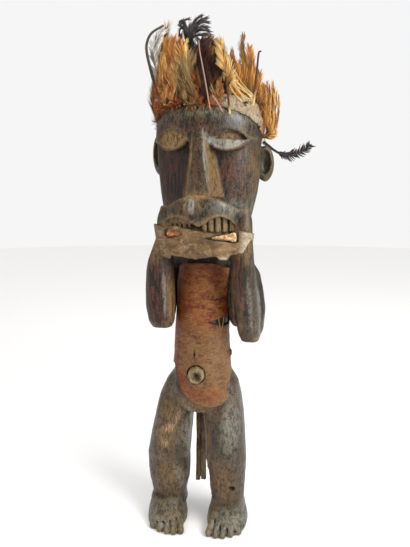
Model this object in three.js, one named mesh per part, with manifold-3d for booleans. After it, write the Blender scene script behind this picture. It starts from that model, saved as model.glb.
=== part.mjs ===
// Carved wooden reliquary figure, in millimetres.
// +Z is up, the face looks along -Y, and +X is to the right of someone who faces it.
// Every body is first described about the carving's own upright axis, which passes
// between the feet, and the whole is moved at the end so that its footprint is centred.

import * as THREE from "three";
import { mergeVertices } from "three/addons/utils/BufferGeometryUtils.js";
import Module from "manifold-3d";

const wasm = await Module();
wasm.setup();

// Driving sizes of the carving
const crown = 631;
const headX = 8;
const headHalfWidth = 72.5;
const headHalfDepth = 68;
const browHeight = 579;
const noseBottom = 492;
const muzzleHalfWidth = 51;
const muzzleHalfDepth = 45;
const muzzleY = -39;
const lipSetBack = 8;
const kneeHeight = 116;
const footLength = 88;
const footHalfWidth = 31;
const leftFoot = [-55, -7];
const rightFoot = [38, 4];
const leftFootTurn = 14;
const toesPerFoot = 5;

// Driving sizes of the hide, the bones and the feathers
const clearance = 0.3;
const hideThickness = 2.6;
const hideTop = 406;
const navelX = 1.7;
const navelHeight = 250.6;
const navelRadius = 11.5;
const bandThickness = 2.4;
const lacingRadius = 0.7;
const capThickness = 5;
const capEdgeHeight = 581;
const quillRadius = 1.3;
const quillDepth = 3.5;
const vaneThickness = 1.5;

// How far the carving's own axis stands from the middle of the whole footprint
const axisOffset = [-31.9, 0.5];

const degree = Math.PI / 180;

// Joining and cutting

function solid(geometry) {
  const bare = geometry.clone();
  bare.deleteAttribute("normal");
  bare.deleteAttribute("uv");
  const merged = mergeVertices(bare, 1e-4);
  const corners = merged.index.array;
  const faces = [];
  for (let i = 0; i < corners.length; i += 3) {
    const [a, b, c] = corners.slice(i, i + 3);
    if (a !== b && b !== c && c !== a) faces.push(a, b, c);
  }
  return new wasm.Manifold(new wasm.Mesh({
    numProp: 3,
    vertProperties: Float32Array.from(merged.attributes.position.array),
    triVerts: Uint32Array.from(faces),
  }));
}

function joined(solids) {
  return solids.reduce((whole, next) => whole.add(next));
}

function cutFrom(whole, cutters) {
  return cutters.reduce((rest, cutter) => rest.subtract(cutter), whole);
}

function toGeometry(whole) {
  const mesh = whole.getMesh();
  const geometry = new THREE.BufferGeometry();
  geometry.setAttribute("position", new THREE.BufferAttribute(Float32Array.from(mesh.vertProperties), 3));
  geometry.setIndex(new THREE.BufferAttribute(Uint32Array.from(mesh.triVerts), 1));
  geometry.computeVertexNormals();
  return geometry;
}

// Basic bodies

// A smooth curve through the rows of a short table, read at a place between 0 and 1
function through(rows) {
  const points = rows.map((row) => new THREE.Vector3(row[0], row[1], row[2] ?? 0));
  return new THREE.CatmullRomCurve3(points, false, "catmullrom", 0.5);
}

// A rounded column: each station is [z, centre x, centre y, half width, half depth],
// and squareness 2 gives oval sections, more gives squarer ones.
function column(stations, { sides = 20, rows = 2, squareness = 2.2, grow = 0 } = {}) {
  const centres = through(stations.map(([z, x, y]) => [x, y, z]));
  const sizes = through(stations.map(([, , , halfWidth, halfDepth]) => [halfWidth, halfDepth]));
  const shape = new THREE.CylinderGeometry(1, 1, 1, sides, rows * (stations.length - 1));
  shape.rotateX(90 * degree);
  const places = shape.attributes.position;
  for (let i = 0; i < places.count; i += 1) {
    const along = THREE.MathUtils.clamp(places.getZ(i) + 0.5, 0, 1);
    const centre = centres.getPoint(along);
    const size = sizes.getPoint(along);
    const x = rounded(places.getX(i), squareness) * (size.x + grow);
    const y = rounded(places.getY(i), squareness) * (size.y + grow);
    places.setXYZ(i, centre.x + x, centre.y + y, centre.z);
  }
  return solid(shape);
}

function rounded(part, squareness) {
  return Math.sign(part) * Math.abs(part) ** (2 / squareness);
}

// An egg-shaped body, turned by angles in degrees about X, Y and Z
function egg(centre, halfSizes, turn = [0, 0, 0], sides = 16) {
  const shape = new THREE.SphereGeometry(1, sides, sides / 2);
  shape.rotateX(90 * degree);
  shape.scale(...halfSizes);
  const angles = new THREE.Euler(...turn.map((angle) => angle * degree));
  shape.applyMatrix4(new THREE.Matrix4().makeRotationFromEuler(angles));
  shape.translate(...centre);
  return solid(shape);
}

// An outline drawn in the front view, carried from front to back between two depths
function frontPrism(outline, front, back, curveSteps = 6) {
  const shape = new THREE.ExtrudeGeometry(outline, {
    depth: back - front, bevelEnabled: false, curveSegments: curveSteps,
  });
  shape.rotateX(90 * degree);
  shape.translate(0, back, 0);
  return solid(shape);
}

// A plate between two faces: the place on the plate is given by u along it, w across it
// and t through it, each between 0 and 1
function plate(placeAt, along, across) {
  const shape = new THREE.BoxGeometry(1, 1, 1, along, 1, across);
  const places = shape.attributes.position;
  for (let i = 0; i < places.count; i += 1) {
    const point = placeAt(places.getX(i) + 0.5, places.getZ(i) + 0.5, places.getY(i) + 0.5);
    places.setXYZ(i, point.x, point.y, point.z);
  }
  return solid(shape);
}

// A long thin body along a path: halfSizes(along) gives [half width, half thickness],
// and the width lies square to the outward direction
function blade(path, outward, halfSizes, { sides = 6, rows = 6 } = {}) {
  const shape = new THREE.CylinderGeometry(1, 1, 1, sides, rows);
  shape.rotateX(90 * degree);
  const places = shape.attributes.position;
  for (let i = 0; i < places.count; i += 1) {
    const along = THREE.MathUtils.clamp(places.getZ(i) + 0.5, 0, 1);
    const tangent = path.getTangent(along);
    const width = new THREE.Vector3().crossVectors(outward, tangent).normalize();
    const depth = new THREE.Vector3().crossVectors(tangent, width);
    const [halfWidth, halfThickness] = halfSizes(along);
    const point = path.getPoint(along);
    point.addScaledVector(width, places.getX(i) * halfWidth);
    point.addScaledVector(depth, places.getY(i) * halfThickness);
    places.setXYZ(i, point.x, point.y, point.z);
  }
  return solid(shape);
}

// Head

const headGrid = { sides: 22, rows: 1 };
const headStations = [
  [412, headX - 2, -14, 30, 28], [430, headX, -11, 48, 48], [470, headX, -6, 62, 60],
  [500, headX + 1, -3, 68, 64], [530, headX + 1, -1, headHalfWidth - 1, headHalfDepth - 2],
  [560, headX, 0, headHalfWidth, headHalfDepth], [590, headX + 1, 1.5, headHalfWidth - 1, headHalfDepth],
  [612, headX + 1, 3, 63, 61], [624, headX + 1, 4, 46, 45], [crown, headX + 1, 4, 20, 20],
];

function side(sign, offset) {
  return headX + sign * offset;
}

// The hollow of one cheek seen from the front: nose flank, brow arch and open outer side
function cheekOutline(sign) {
  const outline = new THREE.Shape();
  outline.moveTo(side(sign, 16), noseBottom - 14);
  outline.lineTo(side(sign, 10), browHeight - 22);
  outline.quadraticCurveTo(side(sign, 13), browHeight, side(sign, 36), browHeight + 3);
  outline.quadraticCurveTo(side(sign, 60), browHeight, side(sign, 66), browHeight - 14);
  outline.lineTo(side(sign, 84), browHeight - 16);
  outline.lineTo(side(sign, 84), noseBottom - 20);
  outline.lineTo(side(sign, 16), noseBottom - 20);
  return outline;
}

// An almond. lift is how much higher its upper curve bends than its lower one.
function eyeOutline(sign, inner, outer, height, rise, lift) {
  const middle = (inner + outer) / 2;
  const outline = new THREE.Shape();
  outline.moveTo(side(sign, inner), height);
  outline.quadraticCurveTo(side(sign, middle), height + rise + lift, side(sign, outer), height + 2);
  outline.quadraticCurveTo(side(sign, middle), height - rise, side(sign, inner), height);
  return outline;
}

function makeHead() {
  const skull = column(headStations, headGrid);
  const cheekStations = headStations.slice(1, 7).map(([z, x, y, halfWidth, halfDepth]) => (
    [z, x, y + 3, halfWidth - 2, halfDepth - 12]));
  const cheeks = column(cheekStations, { ...headGrid, squareness: 2.6 });
  const eyeStations = headStations.slice(2, 8).map(([z, x, y, halfWidth, halfDepth]) => (
    [z, x, y, halfWidth - 1, halfDepth - 3]));
  const eyeballs = column(eyeStations, headGrid);
  const hollows = [-1, 1].map((sign) => frontPrism(cheekOutline(sign), -90, -8));
  const eyes = [
    eyeballs.intersect(frontPrism(eyeOutline(-1, 14, 60, 563, 24, 12), -90, 0)),
    eyeballs.intersect(frontPrism(eyeOutline(1, 15, 60, 562, 24, 12), -90, 0)),
  ];
  const slit = frontPrism(eyeOutline(1, 22, 54, 566, 11, 3), -90, 0)
    .subtract(column(eyeStations, { ...headGrid, grow: -3 }));
  const nose = column([
    [noseBottom, headX + 3, -58, 17, 25], [noseBottom + 16, headX + 3, -58, 13, 22],
    [noseBottom + 46, headX + 3, -56, 9.5, 20], [browHeight - 11, headX + 2, -52, 11, 18],
    [browHeight + 11, headX + 2, -46, 14, 16],
  ], { sides: 12, rows: 1, squareness: 3 });
  const carved = cutFrom(skull, hollows).add(cheeks);
  return cutFrom(joined([carved, ...eyes, nose]), [slit]);
}

// Muzzle, with the lip over the teeth

const muzzleGrid = { sides: 20, rows: 1, squareness: 2.4 };
const muzzleStations = [
  [412, headX, muzzleY + 6, 30, 26], [422, headX, muzzleY + 4, 44, 38],
  [445, headX, muzzleY, muzzleHalfWidth, muzzleHalfDepth - 1],
  [480, headX, muzzleY, muzzleHalfWidth, muzzleHalfDepth],
  [506, headX, muzzleY + 2, muzzleHalfWidth - 5, muzzleHalfDepth - 4],
];

function muzzleTopOutline() {
  const outline = new THREE.Shape();
  outline.moveTo(side(-1, 60), 400);
  outline.lineTo(side(-1, 60), 466);
  outline.quadraticCurveTo(side(-1, 34), 490, headX + 4, noseBottom + 1);
  outline.quadraticCurveTo(side(1, 38), 492, side(1, 60), 466);
  outline.lineTo(side(1, 60), 400);
  return outline;
}

function underLipOutline() {
  const outline = new THREE.Shape();
  outline.moveTo(-62, 452);
  outline.lineTo(-36, 457);
  outline.quadraticCurveTo(-17, 474, headX + 3, 454);
  outline.quadraticCurveTo(36, 476, 59, 448);
  outline.lineTo(76, 444);
  outline.lineTo(76, 405);
  outline.lineTo(-62, 405);
  return outline;
}

// Upper teeth as a row of blocks: first and last x, gum and biting edge heights
function teeth(first, last, count, gum, edge) {
  const pitch = (last - first) / count;
  const blocks = [];
  for (let i = 0; i < count; i += 1) {
    const outline = new THREE.Shape();
    const start = first + i * pitch + 0.7;
    const end = first + (i + 1) * pitch - 0.7;
    outline.moveTo(start, gum);
    outline.lineTo(start, edge + 1.5);
    outline.quadraticCurveTo((start + end) / 2, edge - 1.5, end, edge + 1.5);
    outline.lineTo(end, gum);
    blocks.push(frontPrism(outline, -90, -30, 2));
  }
  return joined(blocks);
}

function makeMuzzle() {
  const whole = column(muzzleStations, muzzleGrid);
  const shaped = whole.intersect(frontPrism(muzzleTopOutline(), -90, 10));
  const setBack = column(muzzleStations, { ...muzzleGrid, grow: -lipSetBack });
  const underLip = frontPrism(underLipOutline(), -95, 0).subtract(setBack);
  const gums = column(muzzleStations, { ...muzzleGrid, grow: -lipSetBack / 2 });
  const rows = joined([teeth(-38, 6, 5, 466, 450), teeth(15, 56, 5, 466, 447)]);
  return shaped.subtract(underLip).add(gums.intersect(rows).intersect(shaped));
}

const ears = [
  { centre: [84, 25, 540], halfSizes: [13, 9, 25], lean: 24 },
  { centre: [-67, 14, 556], halfSizes: [12, 9, 30], lean: -24 },
];

function makeEar({ centre, halfSizes, lean }) {
  const shell = egg(centre, halfSizes, [0, 0, lean], 10);
  const hollowCentre = [centre[0], centre[1] - halfSizes[1] * 0.75, centre[2] + 2];
  const hollowSizes = [halfSizes[0] * 0.62, halfSizes[1] * 0.7, halfSizes[2] * 0.62];
  return shell.subtract(egg(hollowCentre, hollowSizes, [0, 0, lean], 8));
}

// Trunk, neck and arms

const trunkStations = [
  [190, 0, 0, 46, 36], [203, 0, -3, 51, 41], [222, 0, -5, 48, 42], [250, 1, -7, 39, 38.5],
  [300, 0, -4, 37, 35], [350, 1, -1, 35.5, 33.5], [395, 2, 0, 33, 31.5], [418, 3, 0, 28, 29],
];

const trunkGrid = { sides: 22, rows: 1 };

// The buttocks are guessed, because the photograph shows the front only
function makeRoundedMasses() {
  return joined([
    column([[405, 3, 0, 29, 29], [430, 5, -2, 28, 30], [455, 6, -3, 34, 36]], { sides: 16, rows: 1 }),
    egg([-24, 8, 407], [38, 16, 17], [0, -14, 0], 10),
    egg([36, 12, 404], [37, 17, 18], [0, 18, 0], 10),
    egg([-26, 19, 198], [25, 22, 26], [0, 0, 0], 10),
    egg([23, 19, 198], [25, 22, 26], [0, 0, 0], 10),
  ]);
}

// The wood left standing between the right arm and the trunk
function makeArmWeb() {
  return egg([50, -4, 356], [16, 13, 46], [0, 0, 0], 10);
}

// The arms fold at an elbow: the upper arm lies behind, and the forearm rises to the mouth
const armStations = {
  leftUpper: [[318, -49, -32, 11, 12], [326, -50, -26, 15, 15], [348, -53, -12, 16.5, 17],
    [372, -54, 1, 16, 17], [392, -51, 8, 15, 16], [408, -46, 9, 10, 11]],
  leftFore: [[315, -48, -42, 11, 10], [323, -48.5, -43, 17, 15], [345, -49, -46, 20, 18],
    [372, -48.5, -48, 19.7, 18], [395, -47.5, -51, 18.5, 17], [410, -45.5, -53, 16.5, 16],
    [440, -36.5, -56, 12.5, 14.5], [465, -35, -58, 12, 13], [481, -35, -57, 7, 8]],
  rightUpper: [[298, 73, -14, 10, 11], [308, 74.5, -8, 14.5, 15], [336, 73.5, 9, 16.5, 17],
    [364, 69, 19, 16, 17], [388, 64, 22, 15, 16], [404, 57, 20, 10, 11]],
  rightFore: [[296, 71.5, -20, 10, 10], [304, 72, -23, 14.5, 15], [330, 69.5, -32, 17, 18],
    [371, 66, -43, 16.5, 17], [405, 64, -48, 15.5, 16], [435, 62, -48, 15, 14.5],
    [462, 63, -44, 12.5, 13], [477, 64, -42, 7, 8]],
};

function makeArms() {
  return joined(Object.values(armStations).map((stations) => column(stations, { sides: 11, rows: 1 })));
}

// Legs with a ledge over each knee, feet with toes

const legStations = {
  left: [[26, -51, 3, 25, 21], [45, -53, -1, 26.5, 23], [66, -52, -3, 30.5, 25], [90, -51, -7, 32, 26],
    [kneeHeight - 5, -50, -12, 32, 27], [kneeHeight + 2, -49, -16, 31.5, 30], [150, -45, -10, 30, 31],
    [182, -41, -6, 27.5, 33], [206, -37, -4, 26, 32], [229, -29.5, -4, 23, 30], [249, -22, -4, 16, 24]],
  right: [[26, 39, 3, 23, 21], [45, 39, -1, 24.5, 23], [66, 38.5, -2, 26, 25], [90, 38.5, -6, 27.5, 26],
    [kneeHeight - 5, 38, -12, 30, 27], [kneeHeight + 2, 38, -16, 30, 30], [150, 36.5, -10, 29, 31],
    [182, 33, -6, 29.5, 33], [206, 29.5, -4, 29.5, 32], [229, 25, -4, 28.5, 30], [249, 21, -4, 20, 24]],
};

function makeLegs() {
  return joined(Object.values(legStations).map((stations) => column(stations, { sides: 14, rows: 1 })));
}

// A foot whose outer toes stand further back. Its outer side is -1 or 1 along X.
function makeFoot([x, y], outerSide, turn) {
  const halfLength = footLength / 2 - 4;
  const sole = column([
    [-4, 0, 0, footHalfWidth - 3, halfLength - 3], [5, 0, -1, footHalfWidth, halfLength - 2],
    [16, 0, 0, footHalfWidth - 2, halfLength - 6], [28, 0, 3, footHalfWidth - 6, halfLength - 13],
    [38, 0, 4, footHalfWidth - 9, halfLength - 18],
  ], { sides: 16, rows: 1, squareness: 2.4 });
  const toes = [];
  const pitch = (2 * footHalfWidth - 10) / toesPerFoot;
  for (let i = 0; i < toesPerFoot; i += 1) {
    const across = (i - (toesPerFoot - 1) / 2) * pitch;
    const reach = halfLength - 1.5 - 0.013 * (outerSide * across + 12) ** 2;
    toes.push(egg([across, -reach, 5], [pitch * 0.47, 9, 8.5], [0, 0, 0], 7));
  }
  return joined([sole, ...toes]).rotate([0, 0, turn]).translate([x, y, 0]);
}

function makeBelowGround() {
  const slab = new THREE.BoxGeometry(300, 300, 40);
  slab.translate(0, 0, -20);
  return solid(slab);
}

function makeNavelPeg() {
  const peg = new THREE.CylinderGeometry(navelRadius + 1, navelRadius - 0.5, 28, 7);
  peg.translate(navelX, -43, navelHeight);
  const hollow = new THREE.CylinderGeometry(navelRadius * 0.4, navelRadius * 0.5, 8, 7);
  hollow.translate(navelX, -56, navelHeight);
  return solid(peg).subtract(solid(hollow));
}

// The skin round the trunk: a sleeve whose lower edge hangs lowest in front.
// Rows of [angle from the front in degrees, height]
const hideLowerEdge = [
  [-180, 246], [-90, 257], [-52, 256], [-27, 226], [2, 205], [28, 209], [58, 231], [90, 252], [180, 246],
];

function lowerEdgeAt(angle) {
  const next = Math.max(1, hideLowerEdge.findIndex(([place]) => place >= angle));
  const [start, low] = hideLowerEdge[next - 1];
  const [end, high] = hideLowerEdge[next];
  const share = (angle - start) / (end - start);
  return low + (high - low) * share * share * (3 - 2 * share);
}

function upperEdgeAt(angle) {
  return hideTop - 17 * Math.abs(Math.sin(angle * degree)) ** 3;
}

// The station of a table of stations at one height
function stationAt(stations, z) {
  const above = Math.max(1, stations.findIndex(([height]) => height >= z));
  const lower = stations[above - 1];
  const upper = stations[above];
  const share = (z - lower[0]) / (upper[0] - lower[0]);
  return lower.map((value, i) => value + (upper[i] - value) * share);
}

// A sleeve between two distances from the trunk, with spare length at both edges
function sleeve(inner, outer, spare) {
  const rows = 6;
  const profile = [];
  for (let i = 0; i <= rows; i += 1) profile.push(new THREE.Vector2(2, i / rows));
  for (let i = rows; i >= 0; i -= 1) profile.push(new THREE.Vector2(1, i / rows));
  profile.push(profile[0].clone());
  const shape = new THREE.LatheGeometry(profile, trunkGrid.sides);
  shape.rotateX(90 * degree);
  const places = shape.attributes.position;
  for (let i = 0; i < places.count; i += 1) {
    const x = places.getX(i);
    const y = places.getY(i);
    const offset = Math.hypot(x, y) > 1.5 ? outer : inner;
    const turn = Math.atan2(x, -y);
    const low = lowerEdgeAt(turn / degree) - spare;
    const high = upperEdgeAt(turn / degree) + spare;
    const z = low + (high - low) * places.getZ(i);
    const [, centreX, centreY, halfWidth, halfDepth] = stationAt(trunkStations, z);
    const across = rounded(Math.sin(turn), 2.2) * (halfWidth + offset);
    const forward = -rounded(Math.cos(turn), 2.2) * (halfDepth + offset);
    places.setXYZ(i, centreX + across, centreY + forward, z);
  }
  return solid(shape);
}

// A tear that opens towards the figure's left side
function tearOutline() {
  const outline = new THREE.Shape();
  outline.moveTo(15, 322);
  outline.lineTo(30, 326.3);
  outline.lineTo(50, 327.5);
  outline.lineTo(50, 313);
  outline.lineTo(30, 317.7);
  return outline;
}

function makeTorsoHide() {
  const round = new THREE.CylinderGeometry(navelRadius + 2, navelRadius + 2, 40, 12);
  round.translate(navelX, -50, navelHeight);
  const trunkRoom = column(trunkStations, { ...trunkGrid, grow: clearance });
  const tear = frontPrism(tearOutline(), -60, 6);
  return cutFrom(sleeve(-1, clearance + hideThickness, 0), [trunkRoom, tear, solid(round)]);
}

// Thread that crosses the tear, three stitches side by side
function makeTearLacing() {
  const stitchPoints = [];
  const stitches = 2;
  for (let i = 0; i < 2 * stitches; i += 1) {
    const x = 29 + i * 2.1;
    const [, , centreY, halfWidth, halfDepth] = stationAt(trunkStations, 321);
    const offset = clearance * 3 + hideThickness + lacingRadius;
    const share = (x - 0.5) / (halfWidth + offset);
    const y = centreY - (halfDepth + offset) * (1 - share ** 2.2) ** (1 / 2.2);
    const up = Math.floor((i + 1) / 2) % 2 === 0;
    stitchPoints.push(new THREE.Vector3(x, y, up ? 329 : 313));
  }
  const path = new THREE.CatmullRomCurve3(stitchPoints, false, "catmullrom", 0.2);
  const section = new THREE.Shape();
  section.absarc(0, 0, lacingRadius, 0, 2 * Math.PI);
  return solid(new THREE.ExtrudeGeometry(section, {
    steps: 12, extrudePath: path, curveSegments: 2, bevelEnabled: false,
  }));
}

// The rawhide band over the lower mouth and both hands, seen from above as a bow
const bandPath = [
  [-49, -44], [-50.5, -57], [-44, -70], [-20, -78.5], [8, -80.5],
  [34, -78.5], [56, -70], [71, -61], [77, -47],
];
// Rows of [share of the way from one end to the other, lower edge, upper edge]
const bandEdges = [[0, 424, 455], [0.15, 420, 458], [0.35, 417, 455], [0.5, 415, 450], [0.66, 416, 446],
  [0.85, 420, 449], [1, 425, 446]];
const bandLean = 0.12;

function bandPlate(spare) {
  const path = through(bandPath);
  return plate((u, w, t) => {
    const [, low, high] = stationAt(bandEdges, Math.max(u, 1e-6));
    const z = low - spare + (high - low + 2 * spare) * w;
    const point = path.getPointAt(u);
    const tangent = path.getTangentAt(u);
    const outward = new THREE.Vector2(tangent.y, -tangent.x);
    const offset = -spare + (bandThickness + 2 * spare) * (1 - t);
    const tuck = bandLean * (high - z);
    return new THREE.Vector3(
      point.x + outward.x * (offset - tuck) + tangent.x * spare * (2 * u - 1),
      point.y + outward.y * (offset - tuck) + tangent.y * spare * (2 * u - 1),
      z,
    );
  }, 24, 3);
}

// Slits seen from the front, given by their two ends and their greatest half height
function slitOutline(startX, startZ, endX, endZ, startHalf, endHalf) {
  const outline = new THREE.Shape();
  const middleX = (startX + endX) / 2;
  const middleZ = (startZ + endZ) / 2;
  outline.moveTo(startX, startZ - startHalf);
  outline.quadraticCurveTo(middleX, middleZ - startHalf - 2, endX, endZ - endHalf);
  outline.lineTo(endX, endZ + endHalf);
  outline.quadraticCurveTo(middleX, middleZ + startHalf + 2, startX, startZ + startHalf);
  return outline;
}

function bone(start, end, startRadius, endRadius, grow) {
  const path = new THREE.LineCurve3(new THREE.Vector3(...start), new THREE.Vector3(...end));
  const waist = Math.min(startRadius, endRadius);
  return blade(path, new THREE.Vector3(0, -1, 0), (along) => {
    const radius = along < 0.5
      ? THREE.MathUtils.lerp(startRadius, waist, 2 * along)
      : THREE.MathUtils.lerp(waist, endRadius, 2 * along - 1);
    return [radius + grow, radius * 0.85 + grow];
  }, { sides: 10, rows: 4 });
}

function leftBone(grow) {
  return bone([-30 - grow, -70.5, 445.5], [-10 + grow, -75, 445], 5.6, 3.4, grow);
}

function rightBone(grow) {
  return bone([29 - grow, -75, 440], [58 + grow, -66, 441], 2, 6.4, grow);
}

function makeBand() {
  const slits = [
    frontPrism(slitOutline(-31, 446, -9, 445, 6, 1), -95, -40),
    frontPrism(slitOutline(27, 440, 60, 442.5, 0.5, 8.5), -95, -40),
  ];
  return cutFrom(bandPlate(0), [...slits, leftBone(clearance), rightBone(clearance)]);
}

// The strip of hide that hangs behind, from under the skin's back edge to the calves
function makeTail() {
  const path = through([
    [-9, 36.6, 262], [-10, 38.2, 238], [-11, 42.6, 205], [-12.5, 41, 165], [-12, 38, 100], [-12, 36, 37],
  ]);
  const halfWidth = 8.8;
  const halfThickness = 1.8;
  const tail = plate((u, w, t) => {
    const point = path.getPoint(1 - w);
    const narrow = 1 - 0.08 * Math.sin(Math.PI * w);
    point.x += (2 * u - 1) * halfWidth * narrow;
    point.y += (2 * t - 1) * halfThickness;
    return point;
  }, 2, 10);
  const notch = new THREE.Shape();
  notch.moveTo(-14, 30);
  notch.lineTo(-12, 46);
  notch.lineTo(-10.5, 30);
  return tail.subtract(frontPrism(notch, 20, 60));
}

// The hide cap on the crown, higher in front than behind

function capStations(grow) {
  return headStations.slice(4).map(([z, x, y, halfWidth, halfDepth]) => (
    [z + grow * (z - browHeight) / (crown - browHeight), x, y, halfWidth + grow, halfDepth + grow]));
}

function makeCapShell() {
  const outer = column(capStations(clearance + capThickness), headGrid);
  const keep = new THREE.BoxGeometry(260, 260, 120);
  keep.translate(0, 0, 60);
  keep.rotateY(6 * degree);
  keep.rotateX(-16 * degree);
  keep.translate(headX, 3, capEdgeHeight);
  const roomForEars = ears.map(({ centre, halfSizes, lean }) => (
    egg(centre, halfSizes.map((size) => size + 2 * clearance), [0, 0, lean], 10)));
  const headRoom = headStations.map(([z, ...rest]) => [z === crown ? z + clearance : z, ...rest]);
  return cutFrom(outer.intersect(solid(keep)), [
    column(headRoom, { ...headGrid, grow: clearance }), ...roomForEars]);
}

// A place on the cap's outer face
function capPlace(angle, z) {
  const [, x, y, halfWidth, halfDepth] = stationAt(capStations(clearance + capThickness), z);
  const turn = angle * degree;
  return new THREE.Vector3(
    x + rounded(Math.sin(turn), 2.2) * halfWidth, y - rounded(Math.cos(turn), 2.2) * halfDepth, z);
}

// Feathers: [name, colour, root angle, root height, tip, bow, width, facing angle]
const shownFeathers = [
  ["white_feather", "#c9c4ba", -54, 611, [-47, -26, 714], [-34, -6, 10], 15, -20],
  ["gold_hackle_1", "#a8692a", -43, 612, [-47, -44, 691], [-8, -4, 0], 12, -10],
  ["gold_hackle_2", "#a8692a", -30, 611, [-35, -48, 695], [-4, -5, 0], 12, -5],
  ["maroon_hackle", "#4a1f1a", -19, 610, [-23, -52, 688], [-2, -6, 0], 10, 0],
  ["gold_hackle_3", "#a8692a", -8, 609, [-10, -54, 677], [-2, -6, 0], 11, 5],
  ["dark_quill_feather", "#3a1a17", 9, 604, [5, -46, 688], [0, -6, 0], 16, 10],
  ["short_quill", "#c9a08c", 19, 603, [22, -63, 632], [0, -3, 0], 2.6, 10],
  ["cream_feather", "#d8b377", 30, 600, [31, -42, 687], [9, -5, 0], 14, 15],
  ["grey_quill", "#7c6460", 62, 606, [77, -8, 680], [0, -2, 0], 2.6, 20],
  ["black_plume", "#1d1a1c", -36, 628, [-14, -14, 725], [-16, 0, 8], 16, 0],
  ["brown_feather", "#7a4c22", 20, 625, [13, -28, 690], [2, -5, 0], 14, 10],
  ["gold_feather_1", "#b97a33", 44, 622, [37, -24, 684], [8, -5, 0], 12, 15],
  ["gold_feather_2", "#b97a33", 74, 618, [54, 2, 706], [8, -5, 0], 12, 20],
  ["gold_feather_3", "#b97a33", 94, 612, [67, 22, 698], [10, -2, 0], 11, 20],
  ["side_feather_1", "#a5642a", 93, 581, [84, 16, 642], [4, -2, 0], 10, 35],
  ["side_feather_2", "#a5642a", 104, 577, [90, 33, 651], [4, 0, 0], 11, 35],
  ["side_feather_3", "#a5642a", 116, 573, [96, 50, 653], [4, 2, 0], 11, 35],
];

// The feathers of the back and the crown repeat in two rings
function ringFeathers() {
  const rows = [];
  const backCount = 8;
  for (let i = 0; i < backCount; i += 1) {
    const angle = 136 + i * 20;
    const turn = angle * degree;
    const tip = [headX + 76 * Math.sin(turn), 2 - 74 * Math.cos(turn), 672 + 12 * Math.sin(2.4 * i)];
    rows.push([`back_feather_${i + 1}`, "#96602b", angle, 596, tip, [0, 0, 4], 14, angle]);
  }
  const crownCount = 4;
  for (let i = 0; i < crownCount; i += 1) {
    const angle = 118 + i * 42;
    const turn = angle * degree;
    const tip = [headX + 34 * Math.sin(turn), 2 - 34 * Math.cos(turn), 690 + 8 * Math.cos(1.7 * i)];
    rows.push([`crown_feather_${i + 1}`, "#8a5528", angle, 626, tip, [0, 0, 3], 14, angle]);
  }
  return rows;
}

// A quill that swells into a vane. It starts a little way inside the cap.
function makeFeather([, , angle, rootHeight, tip, bow, width, facing], grow = 0) {
  const root = capPlace(angle, rootHeight);
  const end = new THREE.Vector3(...tip);
  const middle = root.clone().lerp(end, 0.5).add(new THREE.Vector3(...bow));
  const rise = middle.clone().sub(root).normalize();
  const start = root.clone().addScaledVector(rise, -quillDepth - grow);
  const path = new THREE.QuadraticBezierCurve3(start, middle, end);
  const outward = new THREE.Vector3(Math.sin(facing * degree), -Math.cos(facing * degree), 0);
  const vane = Math.max(width / 2 - quillRadius, 0);
  return blade(path, outward, (along) => {
    const swell = THREE.MathUtils.smoothstep(along, 0.15, 0.4);
    const taper = 1 - 0.7 * THREE.MathUtils.smoothstep(along, 0.75, 1);
    const halfThickness = THREE.MathUtils.lerp(quillRadius, vaneThickness / 2, swell);
    return [quillRadius * taper + vane * swell * taper + grow, halfThickness * taper + grow];
  }, { sides: 4, rows: 5 });
}

// The plume that sticks out behind the ear: a bare stem that bends up into a tuft
function makeEarPlume(grow = 0) {
  const root = capPlace(111, 570);
  const path = through([root.toArray(), [97, 50, 560], [112, 62, 555], [130, 73, 560], [147, 81, 573]]);
  return blade(path, new THREE.Vector3(0, -1, 0), (along) => {
    const opening = THREE.MathUtils.smoothstep(along, 0.45, 0.7);
    const closing = 1 - 0.6 * THREE.MathUtils.smoothstep(along, 0.85, 1);
    const tuft = opening * closing;
    return [2 + 7 * tuft + grow, 2 + 0.5 * tuft + grow];
  }, { sides: 6, rows: 8 });
}

// The whole carving, made as one piece of wood
function makeFigure() {
  const limbs = joined([
    makeRoundedMasses(), makeArms(), makeArmWeb(), makeLegs(),
    makeFoot(leftFoot, -1, leftFootTurn), makeFoot(rightFoot, 1, 0),
  ]);
  const roomForHide = sleeve(-1, hideThickness + 2 * clearance, clearance);
  const body = limbs.subtract(roomForHide).add(column(trunkStations, trunkGrid));
  return cutFrom(joined([body, makeHead(), makeMuzzle(), ...ears.map(makeEar), makeNavelPeg()]), [
    makeBelowGround(), bandPlate(clearance), leftBone(clearance), rightBone(clearance)]);
}

// The group of named pieces, each with its own finish

const group = new THREE.Group();
group.position.set(axisOffset[0], axisOffset[1], 0);

function addPiece(name, whole, color, roughness) {
  const material = new THREE.MeshStandardMaterial({ color, roughness, metalness: 0 });
  const mesh = new THREE.Mesh(toGeometry(whole), material);
  mesh.name = name;
  group.add(mesh);
}

const feathers = [...shownFeathers, ...ringFeathers()];
const sockets = [...feathers.map((row) => makeFeather(row, clearance)), makeEarPlume(clearance)];

addPiece("carved_figure", makeFigure(), "#463a2b", 0.5);
addPiece("torso_hide", makeTorsoHide(), "#7d4d27", 0.75);
addPiece("tear_lacing", makeTearLacing(), "#a58a62", 0.8);
addPiece("mouth_band", makeBand(), "#866544", 0.75);
addPiece("relic_bone_left", leftBone(0), "#c07a3c", 0.55);
addPiece("relic_bone_right", rightBone(0), "#dcc9a2", 0.55);
addPiece("hide_tail", makeTail(), "#8a7350", 0.8);
addPiece("headdress_cap", cutFrom(makeCapShell(), sockets), "#6b4226", 0.9);
for (const row of feathers) addPiece(row[0], makeFeather(row), row[1], 0.7);
addPiece("ear_plume", makeEarPlume(), "#241c1a", 0.7);

export default group;
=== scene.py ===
import math

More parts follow.
